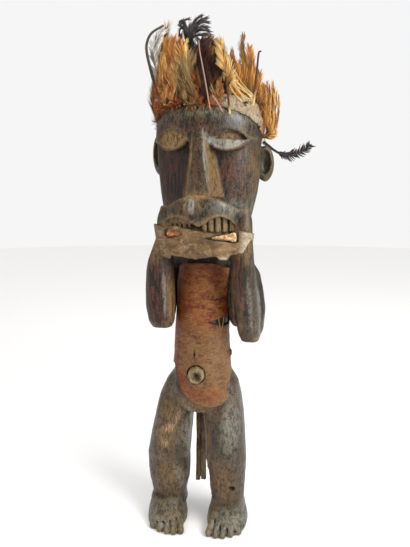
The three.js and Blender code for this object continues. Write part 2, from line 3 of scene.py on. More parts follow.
import bpy
import numpy as np
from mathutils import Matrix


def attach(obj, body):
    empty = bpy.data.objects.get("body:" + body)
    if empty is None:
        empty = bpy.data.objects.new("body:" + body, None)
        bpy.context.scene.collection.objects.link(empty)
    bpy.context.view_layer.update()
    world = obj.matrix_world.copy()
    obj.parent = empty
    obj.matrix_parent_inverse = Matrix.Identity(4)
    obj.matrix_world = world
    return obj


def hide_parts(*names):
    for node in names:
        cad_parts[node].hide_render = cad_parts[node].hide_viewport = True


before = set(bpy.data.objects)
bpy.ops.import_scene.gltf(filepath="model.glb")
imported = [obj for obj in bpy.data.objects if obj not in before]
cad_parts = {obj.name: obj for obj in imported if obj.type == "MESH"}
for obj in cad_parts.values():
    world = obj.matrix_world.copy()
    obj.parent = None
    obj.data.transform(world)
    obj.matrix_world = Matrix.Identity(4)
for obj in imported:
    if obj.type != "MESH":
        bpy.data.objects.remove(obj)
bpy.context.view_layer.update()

bl_info = {
    "name": "Carved reliquary figure",
    "version": (1, 0, 0),
    "blender": (4, 5, 0),
    "location": "3D View > Sidebar > Reliquary",
    "description": "Builds a carved wooden reliquary figure with its hides, bones and feathers",
    "category": "Object",
}

# The carving's own axis stands this far from the middle of the frame's footprint, in mm
AXIS_X = -31.9
AXIS_Y = 0.5
MM = 0.001

# Sizes of the carving, in mm
CROWN = 631.0
HEAD_X = 8.0
HEAD_HALF_WIDTH = 72.5
HEAD_HALF_DEPTH = 68.0
BROW = 579.0
NOSE_BOTTOM = 492.0
MUZZLE_Y = -39.0
MUZZLE_HALF_WIDTH = 51.0
MUZZLE_HALF_DEPTH = 45.0
LIP_SET_BACK = 8.0
KNEE = 116.0
LEFT_FOOT = (-55.0, -7.0)
RIGHT_FOOT = (38.0, 4.0)
LEFT_FOOT_TURN = 14.0
FOOT_HALF_WIDTH = 31.0
FOOT_HALF_LENGTH = 40.0
TOES = 5
NAVEL = (1.7, 250.6)
NAVEL_RADIUS = 11.5
SQUARENESS = 2.2
NO_TURN = (0, 0, 0)


# Small helpers


def linear(hex_colour):
    """An sRGB hex colour as linear red, green and blue."""
    parts = [int(hex_colour[i:i + 2], 16) / 255 for i in (1, 3, 5)]
    return np.array([p / 12.92 if p <= 0.04045 else ((p + 0.055) / 1.055) ** 2.4 for p in parts])


def within(value, low, low_end, high_end, high):
    """1 between the two ends, fading to 0 at low and at high."""
    return ease(low, low_end, value) * ease(high, high_end, value)


def unit(vectors, least=0.0):
    """Vectors of length 1. Least is added to each length where one could be 0."""
    return vectors / (np.linalg.norm(vectors, axis=-1, keepdims=True) + least)


def rows_at(places, reach, rows):
    """Rows that are known at each reach, read off at other places."""
    return np.stack([np.interp(places, reach, rows[:, k]) for k in range(rows.shape[1])], axis=1)


def squarish(value):
    """A sine or cosine pushed outwards, which turns a circle into the carving's rounded square."""
    return np.sign(value) * np.abs(value) ** (2 / SQUARENESS)


def to_frame(points):
    """Millimetres about the carving's axis as metres in the frame."""
    return (np.asarray(points, float) + np.array([AXIS_X, AXIS_Y, 0.0])) * MM


def ease(low, high, value):
    """0 below low, 1 above high, and smooth between them."""
    share = np.clip((value - low) / (high - low), 0, 1)
    return share * share * (3 - 2 * share)


def lattice_noise(points, size, seed):
    """Smooth noise from -1 to 1 at each point, with lumps of about the given size."""
    table = np.random.default_rng(seed).random((64, 64, 64)) * 2 - 1
    place = np.asarray(points, float) / size + 17.3
    cell = np.floor(place).astype(int)
    share = place - cell
    share = share * share * (3 - 2 * share)
    total = 0
    for corner in np.ndindex(2, 2, 2):
        weight = np.prod(np.where(corner, share, 1 - share), axis=-1)
        spot = (cell + corner) % 64
        total = total + weight * table[spot[..., 0], spot[..., 1], spot[..., 2]]
    return total


def layered_noise(points, size, seed, layers=3):
    """Noise with finer layers on top of the first, each half the size and strength."""
    total = 0
    for layer in range(layers):
        total = total + lattice_noise(points, size / 2 ** layer, seed + layer) / 2 ** layer
    return total / 1.75


# Carving with fields: each body is the distance from its surface on a grid of points,
# negative inside, and bodies are joined and cut by comparing distances

CELL = 1.7
GRID_LOW = np.array([-92.0, -93.0, -5.1])
GRID_HIGH = np.array([102.0, 78.0, 636.0])
GRID = [np.arange(GRID_LOW[k], GRID_HIGH[k] + CELL, CELL) for k in range(3)]
FAR = 30.0
NEAR_AXIS = 1e-3
TAP_WEIGHTS = [0.15, 0.22, 0.26, 0.22, 0.15]


class Block:
    """A box-shaped part of the grid, with its points ready to be broadcast."""

    def __init__(self, low, high, margin=8.0):
        self.cut = tuple(
            slice(max(0, int(np.searchsorted(GRID[k], low[k] - margin))),
                  int(np.searchsorted(GRID[k], high[k] + margin)))
            for k in range(3))
        self.x = GRID[0][self.cut[0]][:, None, None]
        self.y = GRID[1][self.cut[1]][None, :, None]
        self.z = GRID[2][self.cut[2]][None, None, :]


def meet(a, b, soft):
    """The join of two bodies with a fillet of about the given size."""
    if soft <= 0:
        return np.minimum(a, b)
    share = np.clip(0.5 + 0.5 * (b - a) / soft, 0, 1)
    return b + (a - b) * share - soft * share * (1 - share)


def pare(a, b, soft):
    """What both bodies hold, with the edge rounded by about the given size."""
    return -meet(-a, -b, soft)


def station_values(stations, z, soft=5.0):
    """The centre and half sizes of a column at each height, eased between its stations."""
    table = np.array(stations, float)
    values = []
    for k in range(1, 5):
        taps = [np.interp(z + soft * tap, table[:, 0], table[:, k]) for tap in (-1, -0.5, 0, 0.5, 1)]
        values.append(np.dot(TAP_WEIGHTS, np.array(taps).reshape(5, -1)).reshape(z.shape))
    return values


def column_block(stations):
    table = np.array(stations, float)
    low = [(table[:, 1] - table[:, 3]).min(), (table[:, 2] - table[:, 4]).min(), table[:, 0].min()]
    high = [(table[:, 1] + table[:, 3]).max(), (table[:, 2] + table[:, 4]).max(), table[:, 0].max()]
    return Block(low, high)


def column_field(block, stations, squareness=SQUARENESS, soft=5.0):
    """A rounded upright column through stations of [z, x, y, half width, half depth]."""
    x, y, half_width, half_depth = station_values(stations, block.z, soft)
    across, along = block.x - x, block.y - y
    ratio = (np.abs(across / half_width) ** squareness
             + np.abs(along / half_depth) ** squareness) ** (1 / squareness)
    radial = np.where(ratio > NEAR_AXIS, np.hypot(across, along) * (1 - 1 / np.maximum(ratio, NEAR_AXIS)),
                      -np.minimum(half_width, half_depth))
    ends = np.maximum(block.z - stations[-1][0], stations[0][0] - block.z)
    return np.maximum(radial, ends)


def turned(angles):
    """The rotation for angles in degrees about X, Y and Z, in that order."""
    a, b, c = np.radians(angles)
    about_x = np.array([[1, 0, 0], [0, math.cos(a), -math.sin(a)], [0, math.sin(a), math.cos(a)]])
    about_y = np.array([[math.cos(b), 0, math.sin(b)], [0, 1, 0], [-math.sin(b), 0, math.cos(b)]])
    about_z = np.array([[math.cos(c), -math.sin(c), 0], [math.sin(c), math.cos(c), 0], [0, 0, 1]])
    return about_z @ about_y @ about_x


def egg_block(centre, half_sizes):
    reach = max(half_sizes)
    return Block(np.array(centre) - reach, np.array(centre) + reach)


def egg_field(block, centre, half_sizes, angles=NO_TURN):
    """An egg-shaped body."""
    matrix = turned(angles)
    offset = [block.x - centre[0], block.y - centre[1], block.z - centre[2]]
    own = [sum(matrix[j][k] * offset[j] for j in range(3)) / half_sizes[k] for k in range(3)]
    level = np.sqrt(own[0] ** 2 + own[1] ** 2 + own[2] ** 2)
    slope = np.sqrt(sum((own[k] / half_sizes[k]) ** 2 for k in range(3)))
    return level * (level - 1) / np.maximum(slope, 1e-6)


def outline_distance(x, z, corners):
    """Distance from an outline drawn in the front view, negative inside it."""
    distance = np.full(np.broadcast(x, z).shape, 1e6)
    inside = np.zeros(distance.shape, bool)
    for (x0, z0), (x1, z1) in zip(corners, corners[1:] + corners[:1]):
        dx, dz = x1 - x0, z1 - z0
        share = np.clip(((x - x0) * dx + (z - z0) * dz) / (dx * dx + dz * dz + 1e-9), 0, 1)
        distance = np.minimum(distance, np.hypot(x - x0 - share * dx, z - z0 - share * dz))
        if z0 != z1:
            inside ^= ((z0 > z) != (z1 > z)) & (x < x0 + (z - z0) * dx / dz)
    return np.where(inside, -distance, distance)


def outline_field(block, corners):
    """An outline drawn in the front view as a body that runs right through from front to back."""
    return outline_distance(block.x[:, 0, 0][:, None], block.z[0, 0, :][None, :], corners)[:, None, :]


def bent(start, middle, end, steps=8):
    """Points on a curve from start towards end, pulled towards middle. The end is left out."""
    share = np.linspace(0, 1, steps + 1)[:-1, None]
    start, middle, end = np.array(start), np.array(middle), np.array(end)
    points = start * (1 - share) ** 2 + 2 * middle * share * (1 - share) + end * share ** 2
    return [tuple(p) for p in points]


# The figure's stations, each [z, x, y, half width, half depth]

HEAD = [
    [412, HEAD_X - 2, -14, 30, 28], [430, HEAD_X, -11, 48, 48], [470, HEAD_X, -6, 62, 60],
    [500, HEAD_X + 1, -3, 68, 64], [530, HEAD_X + 1, -1, HEAD_HALF_WIDTH - 1, HEAD_HALF_DEPTH - 2],
    [560, HEAD_X, 0, HEAD_HALF_WIDTH, HEAD_HALF_DEPTH],
    [590, HEAD_X + 1, 1.5, HEAD_HALF_WIDTH - 1, HEAD_HALF_DEPTH],
    [612, HEAD_X + 1, 3, 63, 61], [624, HEAD_X + 1, 4, 46, 45], [CROWN, HEAD_X + 1, 4, 20, 20],
]
CHEEKS = [[z, x, y + 3, a - 1.2, b - 14] for z, x, y, a, b in HEAD[1:7]]
NOSE = [
    [NOSE_BOTTOM - 2, 13.0, -82.5], [NOSE_BOTTOM + 6, 12.5, -81.5], [NOSE_BOTTOM + 18, 10.0, -80],
    [NOSE_BOTTOM + 46, 7.5, -76], [BROW - 11, 8.5, -70.5], [BROW + 3, 12, -65], [BROW + 16, 16, -60],
]
MUZZLE = [
    [412, HEAD_X, MUZZLE_Y + 6, 30, 26], [422, HEAD_X, MUZZLE_Y + 4, 44, 38],
    [445, HEAD_X, MUZZLE_Y, MUZZLE_HALF_WIDTH, MUZZLE_HALF_DEPTH - 1],
    [480, HEAD_X, MUZZLE_Y, MUZZLE_HALF_WIDTH, MUZZLE_HALF_DEPTH],
    [506, HEAD_X, MUZZLE_Y + 2, MUZZLE_HALF_WIDTH - 5, MUZZLE_HALF_DEPTH - 4],
]
TRUNK = [
    [190, 0, 0, 46, 36], [203, 0, -3, 51, 41], [222, 0, -5, 48, 42], [250, 1, -7, 39, 38.5],
    [300, 0, -4, 37, 35], [350, 1, -1, 35.5, 33.5], [395, 2, 0, 33, 31.5], [418, 3, 0, 28, 29],
]
NECK = [[405, 3, 0, 29, 29], [430, 5, -2, 28, 30], [455, 6, -3, 34, 36]]
ARMS = {
    "left_upper": [[318, -49, -32, 11, 12], [326, -50, -26, 15, 15], [348, -53, -12, 16.5, 17],
                   [372, -54, 1, 16, 17], [392, -51, 8, 15, 16], [408, -46, 9, 10, 11]],
    "left_fore": [[315, -48, -42, 12, 12], [321, -48.5, -43, 17.5, 16], [345, -49, -46, 20, 18],
                  [372, -48.5, -48, 19.7, 18], [395, -47.5, -51, 18.5, 17], [410, -45.5, -53, 16.5, 16],
                  [440, -36.5, -56, 12.5, 14.5], [465, -35, -58, 12, 13], [481, -35, -57, 7, 8]],
    "right_upper": [[298, 73, -14, 10, 11], [308, 74.5, -8, 14.5, 15], [336, 73.5, 9, 16.5, 17],
                    [364, 69, 19, 16, 17], [388, 64, 22, 15, 16], [404, 57, 20, 10, 11]],
    "right_fore": [[296, 71.5, -20, 11, 11], [303, 72, -23, 15, 15.5], [330, 69.5, -32, 17, 18],
                   [371, 66, -43, 16.5, 17], [405, 64, -48, 15.5, 16], [435, 62, -48, 15, 14.5],
                   [462, 63, -44, 12.5, 13], [477, 64, -42, 7, 8]],
}
EARS = [((84, 25, 540), (13, 9, 25), 24), ((-67, 14, 556), (12, 9, 30), -24)]
LEGS = {
    "left": [[26, -51, 3, 25, 21], [45, -53, -1, 26, 23], [66, -52, -3, 30.5, 25], [90, -51, -7, 32, 26],
             [KNEE - 3, -50, -12, 32, 27], [KNEE + 1, -49, -13.5, 31.8, 28], [150, -45, -10, 30, 31],
             [182, -41, -6, 27.5, 33], [206, -37, -4, 26, 32], [229, -29.5, -4, 23, 30],
             [249, -22, -4, 16, 24]],
    "right": [[26, 39, 3, 23, 21], [45, 39, -1, 24.5, 23], [66, 38.5, -2, 26, 25], [90, 38.5, -6, 27.5, 26],
              [KNEE - 3, 38, -12, 29.8, 27], [KNEE + 1, 38, -13.5, 29.8, 28], [150, 36.5, -10, 29, 31],
              [182, 33, -6, 29.5, 33], [206, 29.5, -4, 29.5, 32], [229, 25, -4, 28.5, 30],
              [249, 21, -4, 20, 24]],
}


def rod_field(block, start, end, start_radius, end_radius):
    """A round rod with rounded ends, thicker or thinner at its end."""
    start, end = np.array(start, float), np.array(end, float)
    way = end - start
    offset = [block.x - start[0], block.y - start[1], block.z - start[2]]
    share = np.clip(sum(way[k] * offset[k] for k in range(3)) / (way @ way), 0, 1)
    reach = np.sqrt(sum((offset[k] - share * way[k]) ** 2 for k in range(3)))
    return reach - (start_radius + (end_radius - start_radius) * share)


def side(sign, offset):
    return HEAD_X + sign * offset


# Each eye's side, its inner and outer corner beside the head's axis, its height and its lids' rise
EYES = [(-1, 11.5, 60, 563, 24), (1, 10, 60, 561, 24)]
EYE_SLIT_CURVE = (side(1, 21), 562.0), (side(1, 45), 581.5), (side(1, 59), 563.0)


def whole_curve(start, middle, end):
    return bent(start, middle, end) + [end]


EYE_SLIT = whole_curve(*EYE_SLIT_CURVE)


def lid(sign, inner, outer, height, rise):
    """An eye's inner corner, the point that pulls its lid up or down, and its outer corner."""
    return ((side(sign, inner), height), (side(sign, (inner + outer) / 2), height + rise),
            (side(sign, outer), height + 2))


def almond(sign, inner, outer, height, rise):
    """An eye's outline from the front."""
    return bent(*lid(sign, inner, outer, height, rise)) + bent(*lid(sign, inner, outer, height, -rise)[::-1])


def foot_stations():
    wide, long = FOOT_HALF_WIDTH, FOOT_HALF_LENGTH
    return [
        [-4, 0, 0, wide - 3, long - 4], [5, 0, -1, wide, long - 3], [15, 0, 0, wide - 1.5, long - 6],
        [27, 0, 1, wide - 4.5, long - 11], [37, 0, 1, wide - 6, long - 15], [41, 0, 2, wide - 9, long - 18],
    ]


class Slanted:
    """A block's points as seen from a body turned about its own upright axis."""

    def __init__(self, block, centre, angle):
        c, s = math.cos(math.radians(angle)), math.sin(math.radians(angle))
        across, along = block.x - centre[0], block.y - centre[1]
        self.x, self.y, self.z = c * across + s * along, c * along - s * across, block.z


class Carving:
    """The block of wood as one field, added to and cut one body at a time."""

    def __init__(self):
        self.field = np.full([len(axis) for axis in GRID], FAR)

    def add(self, block, body, soft=0.0):
        self.field[block.cut] = meet(self.field[block.cut], body, soft)

    def cut(self, block, body, soft=0.0):
        self.field[block.cut] = pare(self.field[block.cut], -body, soft)

    def add_column(self, stations, soft=0.0, squareness=2.2):
        block = column_block(stations)
        self.add(block, column_field(block, stations, squareness), soft)

    def add_egg(self, centre, half_sizes, angles=NO_TURN, soft=0.0):
        block = egg_block(centre, half_sizes)
        self.add(block, egg_field(block, centre, half_sizes, angles), soft)

    def cut_egg(self, centre, half_sizes, angles=NO_TURN, soft=0.0):
        block = egg_block(centre, half_sizes)
        self.cut(block, egg_field(block, centre, half_sizes, angles), soft)


def cheek_outline(sign):
    """One cheek's hollow from the front: nose flank, lower lid and open outer side."""
    *eye, rise = next(row for row in EYES if row[0] == sign)
    inner, outer = side(sign, 15), side(sign, 84)
    return [(inner, NOSE_BOTTOM - 14), (side(sign, 9), BROW - 30), *whole_curve(*lid(*eye, -rise)),
            (outer, BROW - 10), (outer, NOSE_BOTTOM - 22), (inner, NOSE_BOTTOM - 22)]


def nose_field(block):
    """A wedge whose flanks spread from its narrow front towards the cheeks."""
    table = np.array(NOSE, float)
    half, front = np.interp(block.z, table[:, 0], table[:, 1]), np.interp(block.z, table[:, 0], table[:, 2])
    across = block.x - HEAD_X - 3
    ridge = front + 0.012 * across ** 2
    flank = 0.92 * (np.abs(across) - half - 0.4 * (block.y - front))
    wedge = pare(flank, ridge - block.y, 2.2)
    wedge = pare(wedge, NOSE_BOTTOM - 0.12 * (block.y + 82) - block.z, 1.6)
    return np.maximum(wedge, np.maximum(block.y + 30, block.z - BROW - 12))


def carve_head(carving):
    block = column_block(HEAD)
    skull = column_field(block, HEAD)
    core = column_field(block, CHEEKS, 2.5)
    forward = block.y + 8
    hollows = np.minimum(*(outline_field(block, cheek_outline(sign)) for sign in (-1, 1)))
    face = pare(skull, -np.maximum(hollows, forward), 1.4)
    eyes = np.minimum(*(outline_field(block, almond(*eye)) for eye in EYES))
    face = pare(face, -np.maximum(eyes - 0.6, np.maximum(forward, -(skull + 2.6))), 0.5)
    under = np.maximum(np.abs(eyes) - 2.2, np.maximum(skull + 1.4, forward))
    face = meet(face, np.maximum(under, block.z - 564), 1.2)
    face = meet(face, core, 1.0)
    face = meet(face, nose_field(block), 3.0)
    slit = outline_field(block, EYE_SLIT)
    face = pare(face, -np.maximum(slit, -(skull + 5.5)), 0.5)
    carving.add(block, face)


def lip_height(x):
    """Height of the upper lip's lower edge: two arches that meet in a point."""
    places = [-62, -38, -28, -17, -5, 6, 13, 21, 29, 39, 50, 58, 76]
    heights = [452, 457, 463, 466, 463, 457.5, 453.5, 458, 463.5, 467, 462, 451, 444]
    return np.interp(x, places, heights)


def muzzle_top(x):
    """Height of the muzzle's upper ledge, arched under the nose."""
    share = np.clip((x - HEAD_X - 3) / 58, -1.1, 1.1)
    return NOSE_BOTTOM + 1 - 27 * share ** 2


def tooth_rows():
    """Each tooth as its first and last x, its biting height and its gum height."""
    for first, last, count, edge, gum in ((-36, 4, 6, 452, 463), (16, 56, 5, 447, 471)):
        pitch = (last - first) / count
        for i in range(count):
            yield first + i * pitch, first + (i + 1) * pitch, edge, gum


def carve_muzzle(carving):
    block = column_block(MUZZLE)
    whole = column_field(block, MUZZLE, 2.4)
    shaped = pare(whole, block.z - muzzle_top(block.x), 2.0)
    upper = pare(shaped, lip_height(block.x) - block.z, 1.2)
    body = meet(upper, np.maximum(whole + LIP_SET_BACK, block.z - 480), 0.5)
    left_gum = np.maximum(whole + 3.2, np.maximum(block.x - 8, np.maximum(458 - block.z, block.z - 470)))
    body = meet(body, left_gum, 1.0)
    for first, last, edge, gum in tooth_rows():
        middle, half = (first + last) / 2, (last - first) / 2
        swell = 1.5 * ((block.x - middle) / half) ** 2
        tooth = np.maximum(np.abs(block.x - middle) - half + 0.9, edge + 0.8 * swell - block.z)
        tooth = np.maximum(tooth, block.z - gum)
        body = meet(body, pare(whole + 3.6 + swell, tooth, 0.8), 0.3)
    carving.add(block, body, 1.0)


def carve_ears(carving):
    for centre, half_sizes, lean in EARS:
        block = egg_block(centre, half_sizes)
        shell = egg_field(block, centre, half_sizes, (0, 0, lean))
        hollow_centre = (centre[0], centre[1] - half_sizes[1] * 0.75, centre[2] + 2)
        hollow = egg_field(block, hollow_centre, np.multiply(half_sizes, (0.66, 0.8, 0.68)), (0, 0, lean))
        carving.add(block, pare(shell, -hollow, 1.0), 1.5)


def carve_body(carving):
    carving.add_column(TRUNK, 0)
    carving.add_column(NECK, 4)
    carving.add_egg((-24, 8, 407), (38, 16, 17), (0, -14, 0), 5)
    carving.add_egg((36, 12, 404), (37, 17, 18), (0, 18, 0), 5)
    carving.add_egg((-26, 19, 198), (25, 22, 26), soft=6)
    carving.add_egg((23, 19, 198), (25, 22, 26), soft=6)
    carving.add_egg((50, -4, 356), (16, 13, 46), soft=2)
    for stations in ARMS.values():
        carving.add_column(stations, 3.0, 2.4)


def blurred(field, reach):
    """A field averaged over a block of cells on every side."""
    width = 2 * reach + 1
    for axis in range(3):
        for _ in range(2):
            edge = [(reach + 1, reach) if k == axis else (0, 0) for k in range(3)]
            total = np.cumsum(np.pad(field, edge, mode="edge"), axis=axis)
            ahead = np.take(total, range(width, total.shape[axis]), axis)
            field = (ahead - np.take(total, range(total.shape[axis] - width), axis)) / width
    return field


def sampled(field, points):
    """The field's value at each point."""
    place = np.clip((points - GRID_LOW) / CELL, 0, np.array(field.shape) - 1.001)
    cell = place.astype(int)
    share = place - cell
    total = 0
    for corner in np.ndindex(2, 2, 2):
        weight = np.prod(np.where(corner, share, 1 - share), axis=1)
        total = total + weight * field[tuple((cell + corner).T)]
    return total


def carve_legs(carving):
    for stations in LEGS.values():
        block = column_block(stations)
        carving.add(block, column_field(block, stations, 2.3, soft=1.6), 2.5)
    carving.cut_egg((49, -27, 72.6), (4.6, 7, 5.2), soft=1.0)


def carve_feet(carving):
    """Feet with long toes, whose outer toes stand further back."""
    pitch = (2 * FOOT_HALF_WIDTH - 9) / TOES
    for (x, y), outer_side, turn in ((LEFT_FOOT, -1, LEFT_FOOT_TURN), (RIGHT_FOOT, 1, 0)):
        block = Block((x - 44, y - 56, -6), (x + 44, y + 48, 44), 0)
        own = Slanted(block, (x, y), turn)
        carving.add(block, column_field(own, foot_stations(), 2.3, soft=2.0), 4.0)
        gaps = []
        for i in range(TOES):
            across = (i - (TOES - 1) / 2) * pitch
            reach = FOOT_HALF_LENGTH + 2.5 - 0.013 * (outer_side * across + 12) ** 2
            carving.add(block, rod_field(own, (across, -reach, 4.8), (0.85 * across, 26 - reach, 17.5),
                                         pitch * 0.49, pitch * 0.36), 0.8)
            gap = across - pitch / 2
            gaps.append(rod_field(own, (gap, -reach - 7, 4), (0.84 * gap, 23 - reach, 21), 1.9, 1.2))
        for gap in gaps[1:]:
            carving.cut(block, gap, 0.8)


def carve_navel(carving):
    """The peg at the navel, whittled to seven facets and hollow at its end."""
    x, z = NAVEL
    block = Block([x - 14, -60, z - 14], [x + 14, -25, z + 14])
    turn = np.arctan2(block.z - z, block.x - x)
    sector = 2 * math.pi / 7
    reach = np.hypot(block.x - x, block.z - z) * np.cos((turn + 0.3) % sector - sector / 2)
    taper = NAVEL_RADIUS - 0.5 + (block.y + 57) * 0.055
    peg = pare(reach - taper * 0.95, np.maximum(-57 - block.y, block.y + 25), 0.8)
    carving.add(block, peg)
    carving.cut_egg((x + 0.8, -60, z - 1), (8.2, 10, 7.6), soft=0.8)


def carve_soles(carving):
    """Cuts the soles flat."""
    below = Block(GRID_LOW, [GRID_HIGH[0], GRID_HIGH[1], 0])
    carving.cut(below, below.z)


def surface_net(field):
    """The surface where a field crosses zero, as points in mm and four-sided faces."""
    inside = field < 0
    cells = np.array(field.shape) - 1
    corners = np.array(list(np.ndindex(2, 2, 2)))
    held = sum(inside[a:a + cells[0], b:b + cells[1], c:c + cells[2]].astype(np.int8) for a, b, c in corners)
    active = (held > 0) & (held < 8)
    number = np.full(cells, -1, np.int32)
    number[active] = np.arange(active.sum())
    places = np.argwhere(active)
    values = [field[tuple((places + corner).T)] for corner in corners]
    total = np.zeros((len(places), 3))
    count = np.zeros(len(places))
    for i, start in enumerate(corners):
        for j, end in enumerate(corners):
            if j <= i or np.abs(end - start).sum() != 1:
                continue
            crosses = (values[i] < 0) != (values[j] < 0)
            share = values[i] / np.where(crosses, values[i] - values[j], 1)
            total += np.where(crosses[:, None], start + share[:, None] * (end - start), 0)
            count += crosses
    points = GRID_LOW + CELL * (places + total / count[:, None])
    faces = []
    for axis in range(3):
        others = [k for k in range(3) if k != axis]
        first = np.take(inside, range(cells[axis]), axis)
        second = np.take(inside, range(1, cells[axis] + 1), axis)
        edges = np.argwhere(first != second)
        edges = edges[np.all([(edges[:, k] > 0) & (edges[:, k] < cells[k]) for k in others], axis=0)]
        ring = []
        for shift in ((1, 1), (0, 1), (0, 0), (1, 0)):
            spot = edges.copy()
            spot[:, others[0]] -= shift[0]
            spot[:, others[1]] -= shift[1]
            ring.append(number[tuple(spot.T)])
        quads = np.stack(ring, axis=1)
        outward = first[tuple(edges.T)] ^ (axis == 1)
        quads[~outward] = quads[~outward][:, ::-1]
        faces.append(quads)
    return points, np.concatenate(faces)


def point_normals(points, faces):
    """Unit normals at the points of a mesh of four-sided faces."""
    across = np.cross(points[faces[:, 2]] - points[faces[:, 0]], points[faces[:, 3]] - points[faces[:, 1]])
    normals = np.zeros_like(points)
    for k in range(4):
        np.add.at(normals, faces[:, k], across)
    return unit(normals, 1e-12)


# Laying hides: a sheet over a grid of two distances in mm, cut to its outline


def open_edges(quads, count):
    """Edges, each from its first to its second point, that only one face uses."""
    starts = quads.ravel()
    ends = np.roll(quads, -1, axis=1).ravel()
    keys = starts.astype(np.int64) * count + ends
    back = ends.astype(np.int64) * count + starts
    lone = ~np.isin(keys, back)
    return np.stack([starts[lone], ends[lone]], axis=1)


def cut_sheet(u, v, keep, place, wrap=False):
    """A closed piece of hide. keep(u, v) is above 0 where there is hide, and place(u, v, side)
    gives its outer face for side 1 and its inner face for side 0. Returns points, faces and
    the u and v of each point."""
    grid_u, grid_v = np.meshgrid(u, v, indexing="ij")
    number = np.arange(grid_u.size).reshape(grid_u.shape)
    here = number if wrap else number[:-1]
    following = np.roll(number, -1, axis=0) if wrap else number[1:]
    quads = np.stack([here[:, :-1], following[:, :-1], following[:, 1:], here[:, 1:]], axis=-1).reshape(-1, 4)
    flat_u, flat_v = grid_u.ravel(), grid_v.ravel()
    level = keep(flat_u, flat_v)
    held = level[quads].mean(axis=1) > 0
    on_rim = np.zeros(flat_u.size, bool)
    on_rim[quads[~held]] = True
    inside = np.zeros(flat_u.size, bool)
    inside[quads[held]] = True
    on_rim &= inside
    step = 0.2
    for _ in range(3):
        rim_u, rim_v = flat_u[on_rim], flat_v[on_rim]
        level = keep(rim_u, rim_v)
        slope_u = (keep(rim_u + step, rim_v) - level) / step
        slope_v = (keep(rim_u, rim_v + step) - level) / step
        steepness = np.maximum(slope_u ** 2 + slope_v ** 2, 0.25)
        limit = 1.5 * (v[1] - v[0])
        flat_u[on_rim] -= np.clip(level * slope_u / steepness, -limit, limit)
        flat_v[on_rim] -= np.clip(level * slope_v / steepness, -limit, limit)
    quads = quads[held]
    used, quads = np.unique(quads, return_inverse=True)
    quads = quads.reshape(-1, 4)
    flat_u, flat_v = flat_u[used], flat_v[used]
    count = len(used)
    rim = open_edges(quads, count)
    walls = np.stack([rim[:, 1], rim[:, 0], rim[:, 0] + count, rim[:, 1] + count], axis=1)
    points = np.concatenate([place(flat_u, flat_v, 1), place(flat_u, flat_v, 0)])
    faces = np.concatenate([quads, quads[:, ::-1] + count, walls])
    return points, faces, np.tile(flat_u, 2), np.tile(flat_v, 2)


def tube(path, radii, sides, seed=0, rough=0.0, flat=1.0):
    """A closed round stick along a path, with its ends drawn in."""
    path = np.asarray(path, float)
    radii = np.broadcast_to(radii, len(path)).astype(float)
    along = unit(np.gradient(path, axis=0))
    across = unit(np.cross(along, [0.3, -1.0, 0.2]))
    out = np.cross(across, along)
    turn = (np.arange(sides) / sides * 2 * math.pi)[None, :, None]
    ring = across[:, None, :] * np.cos(turn) + flat * out[:, None, :] * np.sin(turn)
    points = (path[:, None, :] + ring * radii[:, None, None]).reshape(-1, 3)
    if rough:
        points += ring.reshape(-1, 3) * (rough * layered_noise(points, 5.0, seed))[:, None]
    rows = np.arange(len(path) - 1)[:, None] * sides
    here, after = np.arange(sides)[None, :], (np.arange(sides)[None, :] + 1) % sides
    ring_above = rows + sides
    quads = np.stack([rows + here, rows + after, ring_above + after, ring_above + here], axis=-1)
    quads = quads.reshape(-1, 4)
    here, after, last, total = here[0], after[0], (len(path) - 1) * sides, len(points)
    caps = np.concatenate([np.stack([after, here, np.full(sides, total)], axis=1),
                           np.stack([last + here, last + after, np.full(sides, total + 1)], axis=1)])
    return np.concatenate([points, path[[0, -1]]]), [quads, caps]


def strands(start, middle, end, width, face, rows=3):
    """Many closed three-sided hairs or barbs at once, each bent from start through middle to end.
    face is the way that each one's flat side looks. Also returns how far along its hair each point lies."""
    share = np.linspace(0, 1, rows + 1)
    s = share[None, :, None]
    bend = (1 - s) ** 2 * start[:, None] + 2 * s * (1 - s) * middle[:, None] + s ** 2 * end[:, None]
    direction = np.gradient(bend, axis=1)
    sideways = unit(np.cross(direction, face[:, None]), 1e-9)
    taper = np.interp(s, [0, 0.5, 1], [1, 0.9, 0.25]) * width[:, None, None] / 2
    lift = unit(np.cross(sideways, direction), 1e-9)
    ring = np.stack([bend - sideways * taper, bend + sideways * taper, bend + lift * taper * 0.6], axis=2)
    count = len(start)
    base = (np.arange(count) * (rows + 1) * 3)[:, None]
    edges = [(row * 3 + k, row * 3 + (k + 1) % 3) for row in range(rows) for k in range(3)]
    quads = np.stack([base + np.array([a, b, b + 3, a + 3]) for a, b in edges], axis=1).reshape(-1, 4)
    caps = np.concatenate([base + np.array([2, 1, 0]), base + rows * 3 + np.array([0, 1, 2])])
    return ring.reshape(-1, 3), [quads, caps], np.tile(np.repeat(share, 3), count)


def bundle(parts):
    """Several sets of points, faces and tints as one."""
    points, faces, tints = zip(*parts)
    starts = np.cumsum([0, *map(len, points)])
    quads, caps = ([group + start for group, start in zip(groups, starts)] for groups in zip(*faces))
    faces = [np.concatenate(quads), np.concatenate(caps)]
    return np.concatenate(points), faces, {"tint": np.concatenate(tints)}


